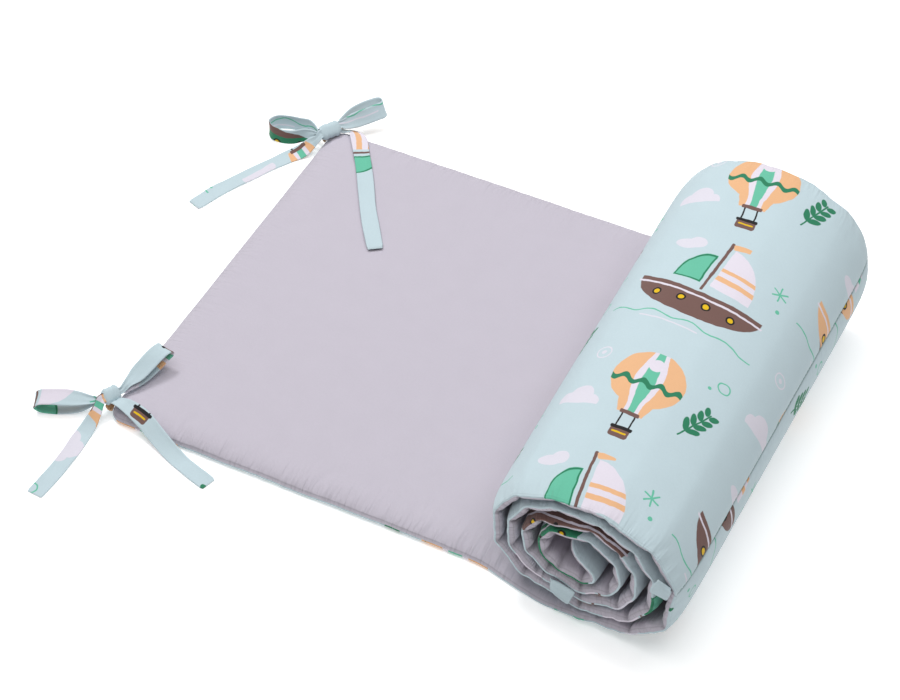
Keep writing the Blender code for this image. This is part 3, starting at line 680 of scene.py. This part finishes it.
def add_tape(skin, stops, cut, seed, ripple=RIPPLE, loop=False):
    """A flat tape of folded cloth along its stops. cut is where its print starts, in metres."""
    fine = smooth_stops(stops)
    points = fine[:, :3] * MM
    last = len(points) - 1
    ways = [unit(points[min(i + 1, last)] - points[max(i - 1, 0)]) for i in range(last + 1)]
    along = distances(points)
    phases = np.random.default_rng(seed).uniform(0, 6.28, 4)
    rings = []
    for i, (left, right) in enumerate(tape_edges(fine, points, along, ways, phases[0], loop)):
        middle = (left + right) / 2
        through = unit(np.cross(ways[i], right - left))
        pinch = (FULL_WIDTH - fine[i, 5]) * PLEAT * MM
        left_over = along[-1] - along[i]
        from_end = min(along[i], left_over)
        fade = min(from_end, RIPPLE_FADE) / RIPPLE_FADE
        end = min(from_end / END_RUN, 1.0)
        tip = 1 - TIP_NARROWING * max(1 - left_over / TIP_RUN, 0.0) ** 2
        ring = []
        for t, h in SECTION:
            lift = pinch * cos(PLEAT_WAVES * t + phases[1]) * (1 - t * t * 0.5)
            lift += ripple * fade * sin(along[i] / RIPPLE_RUN + phases[2] + RIPPLE_SLANT * t)
            lift += ripple * fade * ROCKING * t * sin(along[i] / ROCKING_RUN + phases[3])
            half = h * HALF_TAPE * (END_SHARE + (1 - END_SHARE) * end)
            ring.append(middle + (right - left) / 2 * t * tip + through * (half + lift))
        low = min(point[2] for point in ring)
        rings.append([point + np.array((0, 0, max(TAPE_CLEARANCE - low, 0.0))) for point in ring])

    def uv_of(ring, place, face):
        across = SECTION[place % len(SECTION)][0] * fine[ring, 5] * MM / 2
        back = face >= len(UPPER_SECTION) - 1
        return (cut[0] + along[ring], cut[1] + (BACK_CUT - across if back else across))

    skin.add(rings, uv_of, True)


KNOT_BITE = 0.0022  # tapes reach this far into a knot
KNOT_SIDES, KNOT_RINGS = 40, 22
KNOT_FOLDS = 1.75  # folds of the gathered tape along the knot
KNOT_FOLD_DEPTH = 0.125
KNOT_FOLD_POWER, KNOT_FOLD_MEAN = 0.55, 0.68  # round folds with sharp gaps, about their mean
KNOT_SLANT, KNOT_SLANT_TURN, KNOT_UNEVEN = 0.34, 0.4, 0.10
KNOT_ENDS, KNOT_ENDS_POWER = 0.34, 5  # how much the ends draw in
KNOT_WAIST, KNOT_WAIST_WAVE = 0.05, 3.4
KNOT_LEAN, KNOT_STRETCH = 0.10, 1.02
KNOT_PRINT_STEP = 0.00095
# Sizes along, across and through; the far knot is a little loose
FAR_KNOT_LOOKS, NEAR_KNOT_LOOKS = (0.0190, 0.0142, 0.0098), (0.0140, 0.0140, 0.0096)


def add_knot(skin, knot, looks, cut, seed):
    """A tape drawn tight around the others, gathered in slanting folds."""
    middle, along, across, through = knot_frame(knot)
    phase = np.random.default_rng(seed).uniform(0, 6.28)
    length, wide, thick = looks
    rings = []
    for i in range(KNOT_RINGS):
        place = -1 + 2 * i / (KNOT_RINGS - 1)
        waist = 1 - abs(place) ** KNOT_ENDS_POWER * KNOT_ENDS
        waist = waist * (1 - KNOT_WAIST * cos(place * KNOT_WAIST_WAVE))
        ring = []
        for k in range(KNOT_SIDES):
            turn = 2 * pi * k / KNOT_SIDES
            reach = (abs(cos(turn)) ** KNOT_POWER + abs(sin(turn)) ** KNOT_POWER) ** (-1 / KNOT_POWER)
            slant = place * KNOT_FOLDS + KNOT_SLANT * sin(turn - KNOT_SLANT_TURN)
            slant = slant + KNOT_UNEVEN * sin(2 * turn + phase)
            fold = abs(sin(pi * slant + phase)) ** KNOT_FOLD_POWER - KNOT_FOLD_MEAN
            size = waist * (1 + KNOT_FOLD_DEPTH * fold)
            lean = KNOT_LEAN * cos(turn) * length / 2 * (1 - place * place)
            point = middle + along * (place * length / 2 * KNOT_STRETCH + lean)
            point = point + across * cos(turn) * reach * size * wide / 2
            point = point + through * sin(turn) * reach * size * thick / 2
            ring.append(point + np.array((0, 0, max(KNOT_CLEARANCE - point[2], 0.0))))
        rings.append(ring)

    def uv_of(ring, place, face):
        step = face + (1 if place != face else 0)
        return (cut[0] + step * KNOT_PRINT_STEP, cut[1] + ring * length / KNOT_RINGS)

    skin.add(rings, uv_of, True)


# A cut is where a piece's print starts, in metres. A tail's lead is how it leaves the knot.
Bow = namedtuple("Bow", "name knot looks loops tails")
Loop = namedtuple("Loop", "side width shift stops cut")
Tail = namedtuple("Tail", "lead stops cut")
Lead = namedtuple("Lead", "side layer width shift")
PLAIN = (2.345, 0.53)  # a part of the tapes' cloth with no motif
BOWS = (
    Bow(
        "far_bow",
        FAR_KNOT,
        FAR_KNOT_LOOKS,
        (
            Loop(-1, 4.5, 0.0, FAR_LOOP_LEFT, (2.115, 0.355)),
            Loop(1, 5.5, 0.0022, FAR_LOOP_RIGHT, (2.165, 0.089)),
        ),
        (
            Tail(Lead(-1, 1.5, 8, 0.0), FAR_TAIL_LEFT, (2.295, 0.426)),
            Tail(Lead(1, -0.5, 4, -0.0035), FAR_TAIL_RIGHT, (2.125, 0.4175)),
            Tail(None, FAR_ROOT, (2.9, 0.2)),
        ),
    ),
    Bow(
        "near_bow",
        NEAR_KNOT,
        NEAR_KNOT_LOOKS,
        (
            Loop(-1, 5.5, 0.0, NEAR_LOOP_LEFT, (2.12, 0.42)),
            Loop(1, 6, 0.0, NEAR_LOOP_RIGHT, (2.562, 0.1625)),
        ),
        (
            Tail(Lead(-1, 1.5, 8, 0.0), NEAR_TAIL_LEFT, (2.765, 0.494)),
            Tail(None, NEAR_TAIL_RIGHT, (2.15, 0.225)),
            Tail(None, NEAR_ROOT, (4.9, 0.1)),
        ),
    ),
)
STUBS = (("first_stub", FIRST_STUB, (2.56, 0.405)), ("second_stub", SECOND_STUB, PLAIN))
TAIL_SEED, STUB_SEED = SEED + 4, SEED + 40


def tie_object(name, skin, finish):
    """One object from a skin, in one finish."""
    points = np.array(skin.points) + SHIFT
    uvs = [corner for face in skin.uvs for corner in face]
    return make_mesh(name, points, skin.faces, [0] * len(skin.faces), uvs, (finish,))


def make_ties(finish):
    """Both bows and both stubs."""
    made = []
    for number, bow in enumerate(BOWS):
        skin = Skin()
        for k, loop in enumerate(bow.loops):
            start = knot_stops(bow.knot, loop.side, FRONT_LAYER, loop.width, loop.shift)
            end = knot_stops(bow.knot, loop.side, BACK_LAYER, loop.width, loop.shift)
            route = [*start, *loop.stops, *reversed(end)]
            add_tape(skin, route, loop.cut, SEED + 10 * number + k, loop=True)
        for k, tail in enumerate(bow.tails):
            lead = knot_stops(bow.knot, *tail.lead) if tail.lead else []
            add_tape(skin, [*lead, *tail.stops], tail.cut, TAIL_SEED + 10 * number + k)
        add_knot(skin, bow.knot, bow.looks, PLAIN, SEED + number)
        made.append(tie_object(bow.name, skin, finish))
    for name, stops, cut in STUBS:
        skin = Skin()
        add_tape(skin, stops, cut, STUB_SEED, 0.0)
        made.append(tie_object(name, skin, finish))
    return made


# ---------------------------------------------------------------- finishes


LIGHT = 1.31  # the studio's light on a level face


def colour(red, green, blue):
    """Linear colour from the display values, 0 to 255, that it shows on a level face."""
    values = [v / 255 for v in (red, green, blue)]
    values = [v / 12.92 if v <= 0.04045 else ((v + 0.055) / 1.055) ** 2.4 for v in values]
    return tuple(v / LIGHT for v in values) + (1.0,)


MINT = colour(203, 222, 229)
WHITE = colour(236, 229, 241)
PEACH = colour(243, 190, 143)
BROWN = colour(122, 92, 86)
DARK_GREEN = colour(46, 133, 97)
GREEN = colour(110, 200, 170)
YELLOW = colour(240, 196, 20)
BLACK = colour(34, 33, 34)
GREY = colour(205, 199, 211)
THREAD, PALE_THREAD = colour(96, 146, 138), colour(150, 190, 182)


def fill_inputs(tree, node, inputs):
    """Set inputs by name or number, each to a constant or to what another node gives."""
    for entry, value in inputs.items():
        source = value.socket if isinstance(value, Value) else value
        if isinstance(source, bpy.types.NodeSocket):
            tree.links.new(source, node.inputs[entry])
        else:
            node.inputs[entry].default_value = source


def add_node(tree, kind, inputs=None, **settings):
    node = tree.nodes.new("ShaderNode" + kind)
    for name, setting in settings.items():
        setattr(node, name, setting)
    fill_inputs(tree, node, inputs or {})
    return node


class Value:
    """A number in a material's nodes. Sums and the like on it add Math nodes."""

    def __init__(self, tree, socket):
        self.tree, self.socket = tree, socket

    def math(self, operation, *others, clamp=False):
        inputs = dict(enumerate((self, *others)))
        node = add_node(self.tree, "Math", inputs, operation=operation, use_clamp=clamp)
        return Value(self.tree, node.outputs[0])

    __add__ = partialmethod(math, "ADD")
    __sub__ = partialmethod(math, "SUBTRACT")
    __mul__ = partialmethod(math, "MULTIPLY")
    least = partialmethod(math, "MINIMUM")
    most = partialmethod(math, "MAXIMUM")
    modulo = partialmethod(math, "FLOORED_MODULO")
    floor = partialmethod(math, "FLOOR")
    size = partialmethod(math, "ABSOLUTE")
    wave = partialmethod(math, "SINE")


class Spot:
    """A place on the cloth in mm, for drawing: every shape is a distance, negative inside it."""

    def __init__(self, tree, vector):
        self.tree, self.vector = tree, vector
        split = add_node(tree, "SeparateXYZ", {0: vector})
        self.x, self.y = Value(tree, split.outputs[0]), Value(tree, split.outputs[1])

    def vector_math(self, operation, *terms):
        node = add_node(self.tree, "VectorMath", dict(enumerate(terms)), operation=operation)
        if operation in ("LENGTH", "DISTANCE", "DOT_PRODUCT"):
            return Value(self.tree, node.outputs["Value"])
        return node.outputs[0]

    def circle(self, x, y, radius):
        return self.vector_math("DISTANCE", self.vector, (x, y, 0)) - radius

    def oval(self, x, y, wide, high):
        """wide and high are its half sizes."""
        scale, shift = (1 / wide, 1 / high, 0), (-x / wide, -y / high, 0)
        scaled = self.vector_math("MULTIPLY_ADD", self.vector, scale, shift)
        reach = min(wide, high)
        return self.vector_math("LENGTH", scaled).math("MULTIPLY_ADD", reach, -reach)

    def box(self, x, y, wide, high, corner):
        """wide and high are its half sizes and corner its rounding."""
        off = self.vector_math("SUBTRACT", self.vector, (x, y, 0))
        off = self.vector_math("ABSOLUTE", off)
        off = self.vector_math("SUBTRACT", off, (wide - corner, high - corner, 1))
        off = self.vector_math("MAXIMUM", off, (0, 0, 0))
        return self.vector_math("LENGTH", off) - corner

    def beside(self, x, y, limit):
        """Beyond a line: where x and y times these come to more than the limit is outside."""
        return self.vector_math("DOT_PRODUCT", self.vector, (x, y, 0)) - limit

    def turned(self, degrees, x=0, y=0):
        """The same place seen in a frame that is turned about a point."""
        inputs = {"Vector": self.vector, "Center": (x, y, 0), "Angle": degrees * (pi / 180)}
        node = add_node(self.tree, "VectorRotate", inputs, rotation_type="Z_AXIS")
        return Spot(self.tree, node.outputs[0])


EDGE_SOFTNESS = 0.35  # mm over which a printed edge fades


class Paint:
    """Layers of colour, each where a shape is."""

    def __init__(self, tree, base):
        self.tree, self.out = tree, base

    def mixed(self, share, first, second):
        inputs = {0: share, 6: first, 7: second}
        return add_node(self.tree, "Mix", inputs, data_type="RGBA").outputs[2]

    def fill(self, shape, tint, strength=1.0):
        share = shape.math("MULTIPLY_ADD", -strength / EDGE_SOFTNESS, 0.5 * strength, clamp=True)
        if strength < 1:
            share = share.least(strength)
        self.out = self.mixed(share, self.out, tint)


CELL = (141.0, 124.0)  # mm from motif to motif, along and across
TAPE_CELL = (150.0, 132.0)  # and on the cloth of the tapes


def draw_boat(paint, spot, hull_tint, trim_tint):
    """A small sailing boat on a wave, about 110 mm long."""
    x, y = spot.x, spot.y
    sheer = y - x * x * 0.0017
    hull = spot.oval(0, 3, 55, 31).most(sheer)
    water = (y + 35.0 - (x * 0.19).wave() * 1.7).size().most(x.size() - 64) - 0.65
    paint.fill(water, GREEN)
    paint.fill(spot.box(-8, -41, 26, 0.7, 0.6), WHITE, 0.8)
    paint.fill(spot.box(-1.5, 32, 1.3, 30, 1.0), BROWN)
    sail = spot.oval(3, 9, 35, 46).most(spot.beside(-1, 0, -3)).most(spot.beside(0, -1, -9))
    paint.fill(sail, WHITE)
    bands = spot.box(20, 21, 30, 2.6, 0.5).least(spot.box(20, 31, 30, 2.0, 0.5))
    paint.fill(bands.most(sail), trim_tint)
    jib = spot.oval(-6, 9, 24, 34).most(spot.beside(1, 0, -6)).most(spot.beside(0, -1, -9))
    paint.fill(jib, GREEN)
    paint.fill((jib + 1.0).size().most(jib) - 0.7, DARK_GREEN)
    pennant = spot.turned(-14, 4, 60).box(7, 59, 7.5, 3.0, 1.4)
    paint.fill(pennant, PEACH)
    paint.fill(hull, hull_tint)
    paint.fill(hull.most(spot.beside(0, 1, -20)), BROWN)
    paint.fill((sheer + 5.2).size().most(hull) - 1.0, WHITE)
    for place in (-33, -11, 11, 33):  # portholes
        paint.fill(spot.circle(place, -12.5, 4.0), BLACK)
        paint.fill(spot.circle(place, -12.5, 2.5), YELLOW)
    cloud = spot.oval(-36, 47, 11, 5.4).least(spot.oval(-28, 50, 8, 6.4))
    paint.fill(cloud, WHITE, 0.8)
    star = spot.turned(20, 52, 42).box(52, 42, 7.5, 0.7, 0.6)
    for turn in (80, 140):
        star = star.least(spot.turned(turn, 52, 42).box(52, 42, 7.5, 0.7, 0.6))
    paint.fill(star.least(spot.circle(58, 26, 2.0)), GREEN)


def draw_balloon(paint, spot, first_tint, second_tint):
    """A hot-air balloon with a basket, about 90 mm high, between a cloud and a sprig."""
    x, y = spot.x, spot.y
    skirt = spot.box(0, -2, 15, 16, 3).most(spot.turned(17).beside(1, 0, 15.5))
    skirt = skirt.most(spot.turned(-17).beside(-1, 0, 15.5))
    body = spot.oval(0, 20, 30, 29).least(skirt)
    ropes = spot.box(-5.5, -25, 0.7, 8, 0.5).least(spot.box(5.5, -25, 0.7, 8, 0.5))
    paint.fill(ropes, BLACK)
    paint.fill(body, first_tint)
    gores = x.math("DIVIDE", (spot.oval(0, 20, 30, 32) * -1.0).most(4.0) + 14.0)
    paint.fill(((gores.size() - 0.36) * 20.0).most(body), WHITE)
    paint.fill(((gores.size() - 0.16) * 20.0).most(body), second_tint)
    hem = ((x * 0.42).wave() * 2.4 + y - 16.0).size() - 2.6
    paint.fill(hem.most(body), DARK_GREEN)
    paint.fill(spot.circle(0, 36, 6.2).most(body), WHITE)
    paint.fill(spot.box(0, -17.4, 8.4, 2.0, 1.0), BROWN)
    basket = spot.box(0, -37.5, 8.2, 5.6, 2.4)
    paint.fill(basket, BROWN)
    paint.fill(spot.box(0, -33.4, 9.2, 1.6, 1.0), BLACK)
    paint.fill(spot.box(0, -38.2, 6.2, 0.8, 0.6), YELLOW)
    cloud = spot.circle(-56, -14, 8).least(spot.circle(-46, -9, 10.5))
    cloud = cloud.least(spot.circle(-35, -15, 7))
    paint.fill(cloud.most(spot.beside(0, -1, 17.5)), WHITE, 0.85)
    sprig = spot.turned(24, 50, 6)
    stem = sprig.box(50, 2, 0.7, 19, 0.6)
    for k, rise in enumerate((-9, -1, 7, 15)):
        for side in (1, -1):
            leaf = sprig.turned(side * 38, 50, rise).oval(50, rise + 6.5, 2.6, 6.4 - 0.7 * k)
            stem = stem.least(leaf)
    paint.fill(stem, DARK_GREEN if first_tint is PEACH else GREEN)
    ring = spot.circle(-48, 40, 6.0).size() - 0.6
    paint.fill(ring.least(spot.circle(-48, 40, 2.0)), WHITE, 0.8)
    paint.fill((spot.circle(54, 48, 5.0).size() - 0.6).least(spot.circle(44, 40, 1.6)), GREEN)


def new_material(name):
    finish = bpy.data.materials.new(name)
    finish.use_nodes = True
    tree = finish.node_tree
    return finish, tree, tree.nodes["Principled BSDF"]


def flat_place(tree):
    """The place on the flat cloth, in metres."""
    return add_node(tree, "UVMap", uv_map="Cloth").outputs[0]


def cloth_place(tree, mirrored):
    """The same in mm. The print reads from the strip's other face, so it is mirrored there."""
    inputs = {0: flat_place(tree), 1: (-1000 if mirrored else 1000, 1000, 0)}
    return add_node(tree, "VectorMath", inputs, operation="MULTIPLY").outputs[0]


def noise(tree, vector, scale, detail, rough=0.55):
    inputs = {"Vector": vector, "Scale": scale, "Detail": detail, "Roughness": rough}
    return Value(tree, add_node(tree, "TexNoise", inputs).outputs["Fac"])


def stored(tree, title):
    """A number stored at the pad's points."""
    return Value(tree, add_node(tree, "Attribute", attribute_name=title).outputs["Fac"])


# Fine puckers of each seam: the stored distance from it, which of the cloth's places runs along it,
# where they start in the noise, their pitch and reach in metres, how fast they change, their share
RIDGES = (
    ("Side", "x", 0.0, 0.0088, 0.013, 22.0, 1.0),
    ("Side", "x", 3.0, 0.0042, 0.006, 40.0, 0.4),
    ("End", "y", 0.0, 0.0088, 0.012, 22.0, 1.0),
    ("Seam", "y", 0.0, 0.0085, 0.006, 40.0, 0.7),
)
RIDGE_DETAIL, RIDGE_HEIGHT = 2.0, 5.0


def seam_relief(tree, depth):
    """Fine puckers that run in from the sewn edges and from the cross seams."""
    flat = Spot(tree, flat_place(tree))
    runs = {"x": flat.x, "y": flat.y}
    total = None
    for title, way, start, pitch, reach, spread, share in RIDGES:
        away = stored(tree, title)
        inputs = {0: (runs[way] + start) * (1 / pitch), 1: away * spread}
        joined = add_node(tree, "CombineXYZ", inputs).outputs[0]
        fold = (noise(tree, joined, 1.0, RIDGE_DETAIL) - 0.5).size() * RIDGE_HEIGHT
        ridge = fold.least(1.0) * (away * (-1 / reach)).math("EXPONENT") * share
        total = total + ridge if total else ridge
    return total * depth


THREAD_PITCH = 0.62  # mm
YARN_SCALE, BROAD_SCALE = 0.55, 0.045  # of the noise per mm, for uneven yarn and for slubs
THREAD_RELIEF, YARN_RELIEF = 0.35, 0.9
YARN_SHADE, BROAD_SHADE, THREAD_SHADE = 0.07, 0.05, 0.035
MEAN_THREAD = 0.4
WEAVE_DEPTH = 0.00018
# Dark lines: how fast they fade per metre, the value they fade from, and their depth. The line along a
# cross seam is its dark thread together with painted shade where the seam dips.
SEAM_THREAD_AND_SHADE = (900.0, 1.3, 0.34)
EDGE_LINE, EDGE_LINE_PLACE = (2000.0, 1.2), 0.0009
EDGE_DEPTH, EDGE_FOLDED = 0.06, 0.4
# How tightly the painted shade of a fold keeps to its crease
FOLD_SHADE_POWER = 2.5
# Depth of the fine puckers over that of the weave, and how far painted shade darkens the folds'
# creases
GREY_LOOKS, PRINT_LOOKS = (15.0, 0.42), (8.0, 0.05)


def dark_line(away, fall, start, depth):
    return (away * -fall + start).most(0.0).least(1.0) * depth


def weave(tree, shader, spot, tint, relief=None, folded=0.0):
    """Plain weave: crossing threads, uneven yarn and slight slubs, in colour and in relief. With
    relief, it also adds dark lines along the seams and edges, and painted shade in the folds' creases.
    """
    over = (spot.x * (pi / THREAD_PITCH)).wave()
    under = (spot.y * (pi / THREAD_PITCH)).wave()
    threads = (over * under).size()
    yarn = noise(tree, spot.vector, YARN_SCALE, 3)
    broad = noise(tree, spot.vector, BROAD_SCALE, 3)
    height = threads * THREAD_RELIEF + yarn * YARN_RELIEF
    shade = (yarn - 0.5) * YARN_SHADE + (broad - 0.5) * BROAD_SHADE
    shade = shade + (threads - MEAN_THREAD) * THREAD_SHADE + 1.0
    if relief:
        height = height + relief
        # Along a cross seam: its dark thread, and painted shade in the seam's dip
        shade = shade - dark_line(stored(tree, "Seam"), *SEAM_THREAD_AND_SHADE)
        beside = (stored(tree, "Side") - EDGE_LINE_PLACE).size()
        shade = shade - dark_line(beside, *EDGE_LINE, EDGE_DEPTH + EDGE_FOLDED * folded)
        # Painted shade in the creases of the folds
        shade = shade * (stored(tree, "Fold").math("POWER", FOLD_SHADE_POWER) * -folded + 1.0)
    inputs = {0: tint[:3] if isinstance(tint, tuple) else tint, "Scale": shade}
    shaded = add_node(tree, "VectorMath", inputs, operation="SCALE").outputs[0]
    inputs = {"Strength": 0.5, "Distance": WEAVE_DEPTH, "Height": height}
    inputs = {
        "Base Color": shaded,
        "Normal": add_node(tree, "Bump", inputs).outputs[0],
        "Roughness": yarn * 0.1 + 0.82,
        "Sheen Weight": 0.12,
        "Sheen Roughness": 0.5,
        "Specular IOR Level": 0.25,
    }
    fill_inputs(tree, shader, inputs)


WOBBLE_SCALE, WOBBLE = 0.09, 2.4  # the print's lines waver by this, in mm
MOTIF_TURN = 5.0  # degrees from one motif to the next


def printed_cotton(name, padded, cell):
    """Mint cotton with boats and balloons in an even scatter, drawn in the nodes."""
    finish, tree, shader = new_material(name)
    place = cloth_place(tree, True)
    inputs = {"Vector": place, "Scale": WOBBLE_SCALE}
    inputs = {0: add_node(tree, "TexNoise", inputs).outputs["Color"], 1: (WOBBLE, WOBBLE, 0), 2: place}
    whole = Spot(tree, add_node(tree, "VectorMath", inputs, operation="MULTIPLY_ADD").outputs[0])
    column = (whole.x * (1 / cell[0])).floor()
    lifted = whole.y + column.modulo(2.0) * (cell[1] * 0.5)
    row = (lifted * (1 / cell[1])).floor()
    inputs = {0: whole.x - (column + 0.5) * cell[0], 1: lifted - (row + 0.5) * cell[1]}
    in_cell = Spot(tree, add_node(tree, "CombineXYZ", inputs).outputs[0])
    kind = (column + row).modulo(2.0)
    variant = (column - row * 2.0).modulo(3.0)
    spot = in_cell.turned((variant - 1.0) * MOTIF_TURN)
    first, second = variant.math("COMPARE", 1.0, 0.5), variant.math("COMPARE", 2.0, 0.5)
    boats, balloons = Paint(tree, MINT), Paint(tree, MINT)
    hull = boats.mixed(second, boats.mixed(first, DARK_GREEN, PEACH), BROWN)
    draw_boat(boats, spot, hull, boats.mixed(first, PEACH, GREEN))
    draw_balloon(balloons, spot, PEACH, GREEN)
    picture = boats.mixed(kind, boats.out, balloons.out)
    depth, folded = PRINT_LOOKS
    relief = seam_relief(tree, depth) if padded else None
    weave(tree, shader, Spot(tree, place), picture, relief, folded)
    return finish


def grey_cotton():
    finish, tree, shader = new_material("grey_cotton")
    depth, folded = GREY_LOOKS
    spot = Spot(tree, cloth_place(tree, False))
    weave(tree, shader, spot, GREY, seam_relief(tree, depth), folded)
    return finish


def thread_finish():
    finish, tree, shader = new_material("sewing_thread")
    where = add_node(tree, "TexCoord").outputs["Object"]
    tint = Paint(tree, THREAD).mixed(noise(tree, where, 900.0, 2), THREAD, PALE_THREAD)
    fill_inputs(tree, shader, {"Base Color": tint, "Roughness": 0.7})
    return finish


# ---------------------------------------------------------------- stitches

STITCH, STITCH_GAP = 0.0030, 0.0011
STITCH_RADIUS = 0.00028
STITCH_SHAPE = ((0, 0.3), (0.12, 0.85), (0.5, 1.0), (0.88, 0.85), (1, 0.3))  # place, thickness
STITCH_TURNS = np.arange(6) * pi / 3
ROW_SHIFT = 0.0016  # from the seam to its row of stitches
ROW_EDGE, ROW_START = 0.0015, 0.002
SLANTED = (0.3, 0.1, 0.9)  # never along a stitch


def stitch_rings(first, last):
    """One stitch, as rings of points from end to end."""
    way = unit(last - first)
    side = unit(np.cross(way, SLANTED))
    over = np.cross(way, side)
    rings = []
    for share, size in STITCH_SHAPE:
        middle = first * (1 - share) + last * share
        offsets = [(side * cos(a) + over * sin(a)) * STITCH_RADIUS * size for a in STITCH_TURNS]
        rings.append([middle + offset for offset in offsets])
    return rings


def make_stitches(finish):
    """Rows of small stitches along the seams that cross the printed face."""
    skin = Skin()
    for place in SEAM_PLACES:
        line = LOWER[int(np.argmin(np.abs(ROWS - place - ROW_SHIFT)))]
        line = line[EDGE[0] > ROW_EDGE]
        along = distances(line)
        starts = np.arange(ROW_START, along[-1] - STITCH, STITCH + STITCH_GAP)
        for ends in zip(starts, starts + STITCH):
            first, last = (np.array([np.interp(v, along, c) for c in line.T]) for v in ends)
            skin.add(stitch_rings(first, last), lambda ring, k, face: (0.0, 0.0), True)
    return tie_object("seam_stitches", skin, finish)


# ---------------------------------------------------------------- the model

pad = make_pad(grey_cotton(), printed_cotton("printed_cotton", True, CELL))
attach(pad, "root")
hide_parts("pad")

stitches = make_stitches(thread_finish())
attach(stitches, "root")

far_bow, near_bow, first_stub, second_stub = make_ties(
    printed_cotton("tape_cotton", False, TAPE_CELL)
)
BOW_NODES = ("tie_knot", "tie_loop_left", "tie_loop_right", "tie_tail_left", "tie_tail_right")
BOW_NODES += ("tie_root",)
for bow, side in ((far_bow, "far"), (near_bow, "near")):
    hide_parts(*[f"{side}_{node}" for node in BOW_NODES])
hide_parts("first_seam_stub")
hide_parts("second_seam_stub")
for tie in (far_bow, near_bow, first_stub, second_stub):
    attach(tie, "root")

# ---------------------------------------------------------------- floor, light and camera


FLOOR_REACH = 6.0
FLOOR_INPUTS = {
    "Base Color": (0.90, 0.90, 0.90, 1),
    "Emission Color": (1, 1, 1, 1),
    "Emission Strength": 0.30,
    "Roughness": 0.95,
    "Specular IOR Level": 0.0,
}
DAYLIGHT = {"Color": (1, 1, 1, 1), "Strength": 0.30}


def make_floor():
    mesh = bpy.data.meshes.new("floor")
    corners = ((-1, -1), (1, -1), (1, 1), (-1, 1))
    mesh.from_pydata([(x * FLOOR_REACH, y * FLOOR_REACH, 0) for x, y in corners], [], [(0, 1, 2, 3)])
    finish, tree, shader = new_material("floor")
    fill_inputs(tree, shader, FLOOR_INPUTS)
    mesh.materials.append(finish)
    floor = put("floor", mesh)


def aim(item, place, way):
    item.location = place
    item.rotation_euler = way.to_track_quat("-Z", "Y").to_euler()


def make_light(name, place, target, size, power):
    light = bpy.data.lights.new(name, "AREA")
    light.shape = "DISK"
    light.size = size
    light.energy = power
    aim(put(name, light), place, Vector(target) - Vector(place))


def make_world():
    world = bpy.data.worlds.new("studio")
    world.use_nodes = True
    fill_inputs(world.node_tree, world.node_tree.nodes["Background"], DAYLIGHT)
    bpy.context.scene.world = world


# The camera, fitted to the strip's own place: degrees, metres, and mm for its lens and sensor
AZIMUTH, ELEVATION = 26.54, 46.44
CAMERA = np.array((0.87943, -1.32090, 1.55228))
LENS, SENSOR = 100.0, 36.0


def make_camera():
    camera = bpy.data.cameras.new("camera")
    camera.lens, camera.sensor_width = LENS, SENSOR
    item = put("camera", camera)
    aim(item, CAMERA + SHIFT, Vector(direction(90 + AZIMUTH, -ELEVATION)))
    bpy.context.scene.camera = item


make_floor()
make_world()
make_light("overhead", (0, 0.2, 2.3), (0, 0.1, 0), 3.2, 54)
make_light("key", (-1.05, 0.55, 2.1), (0, 0, 0), 0.55, 20)
make_camera()
bpy.context.scene.view_settings.view_transform = "Standard"
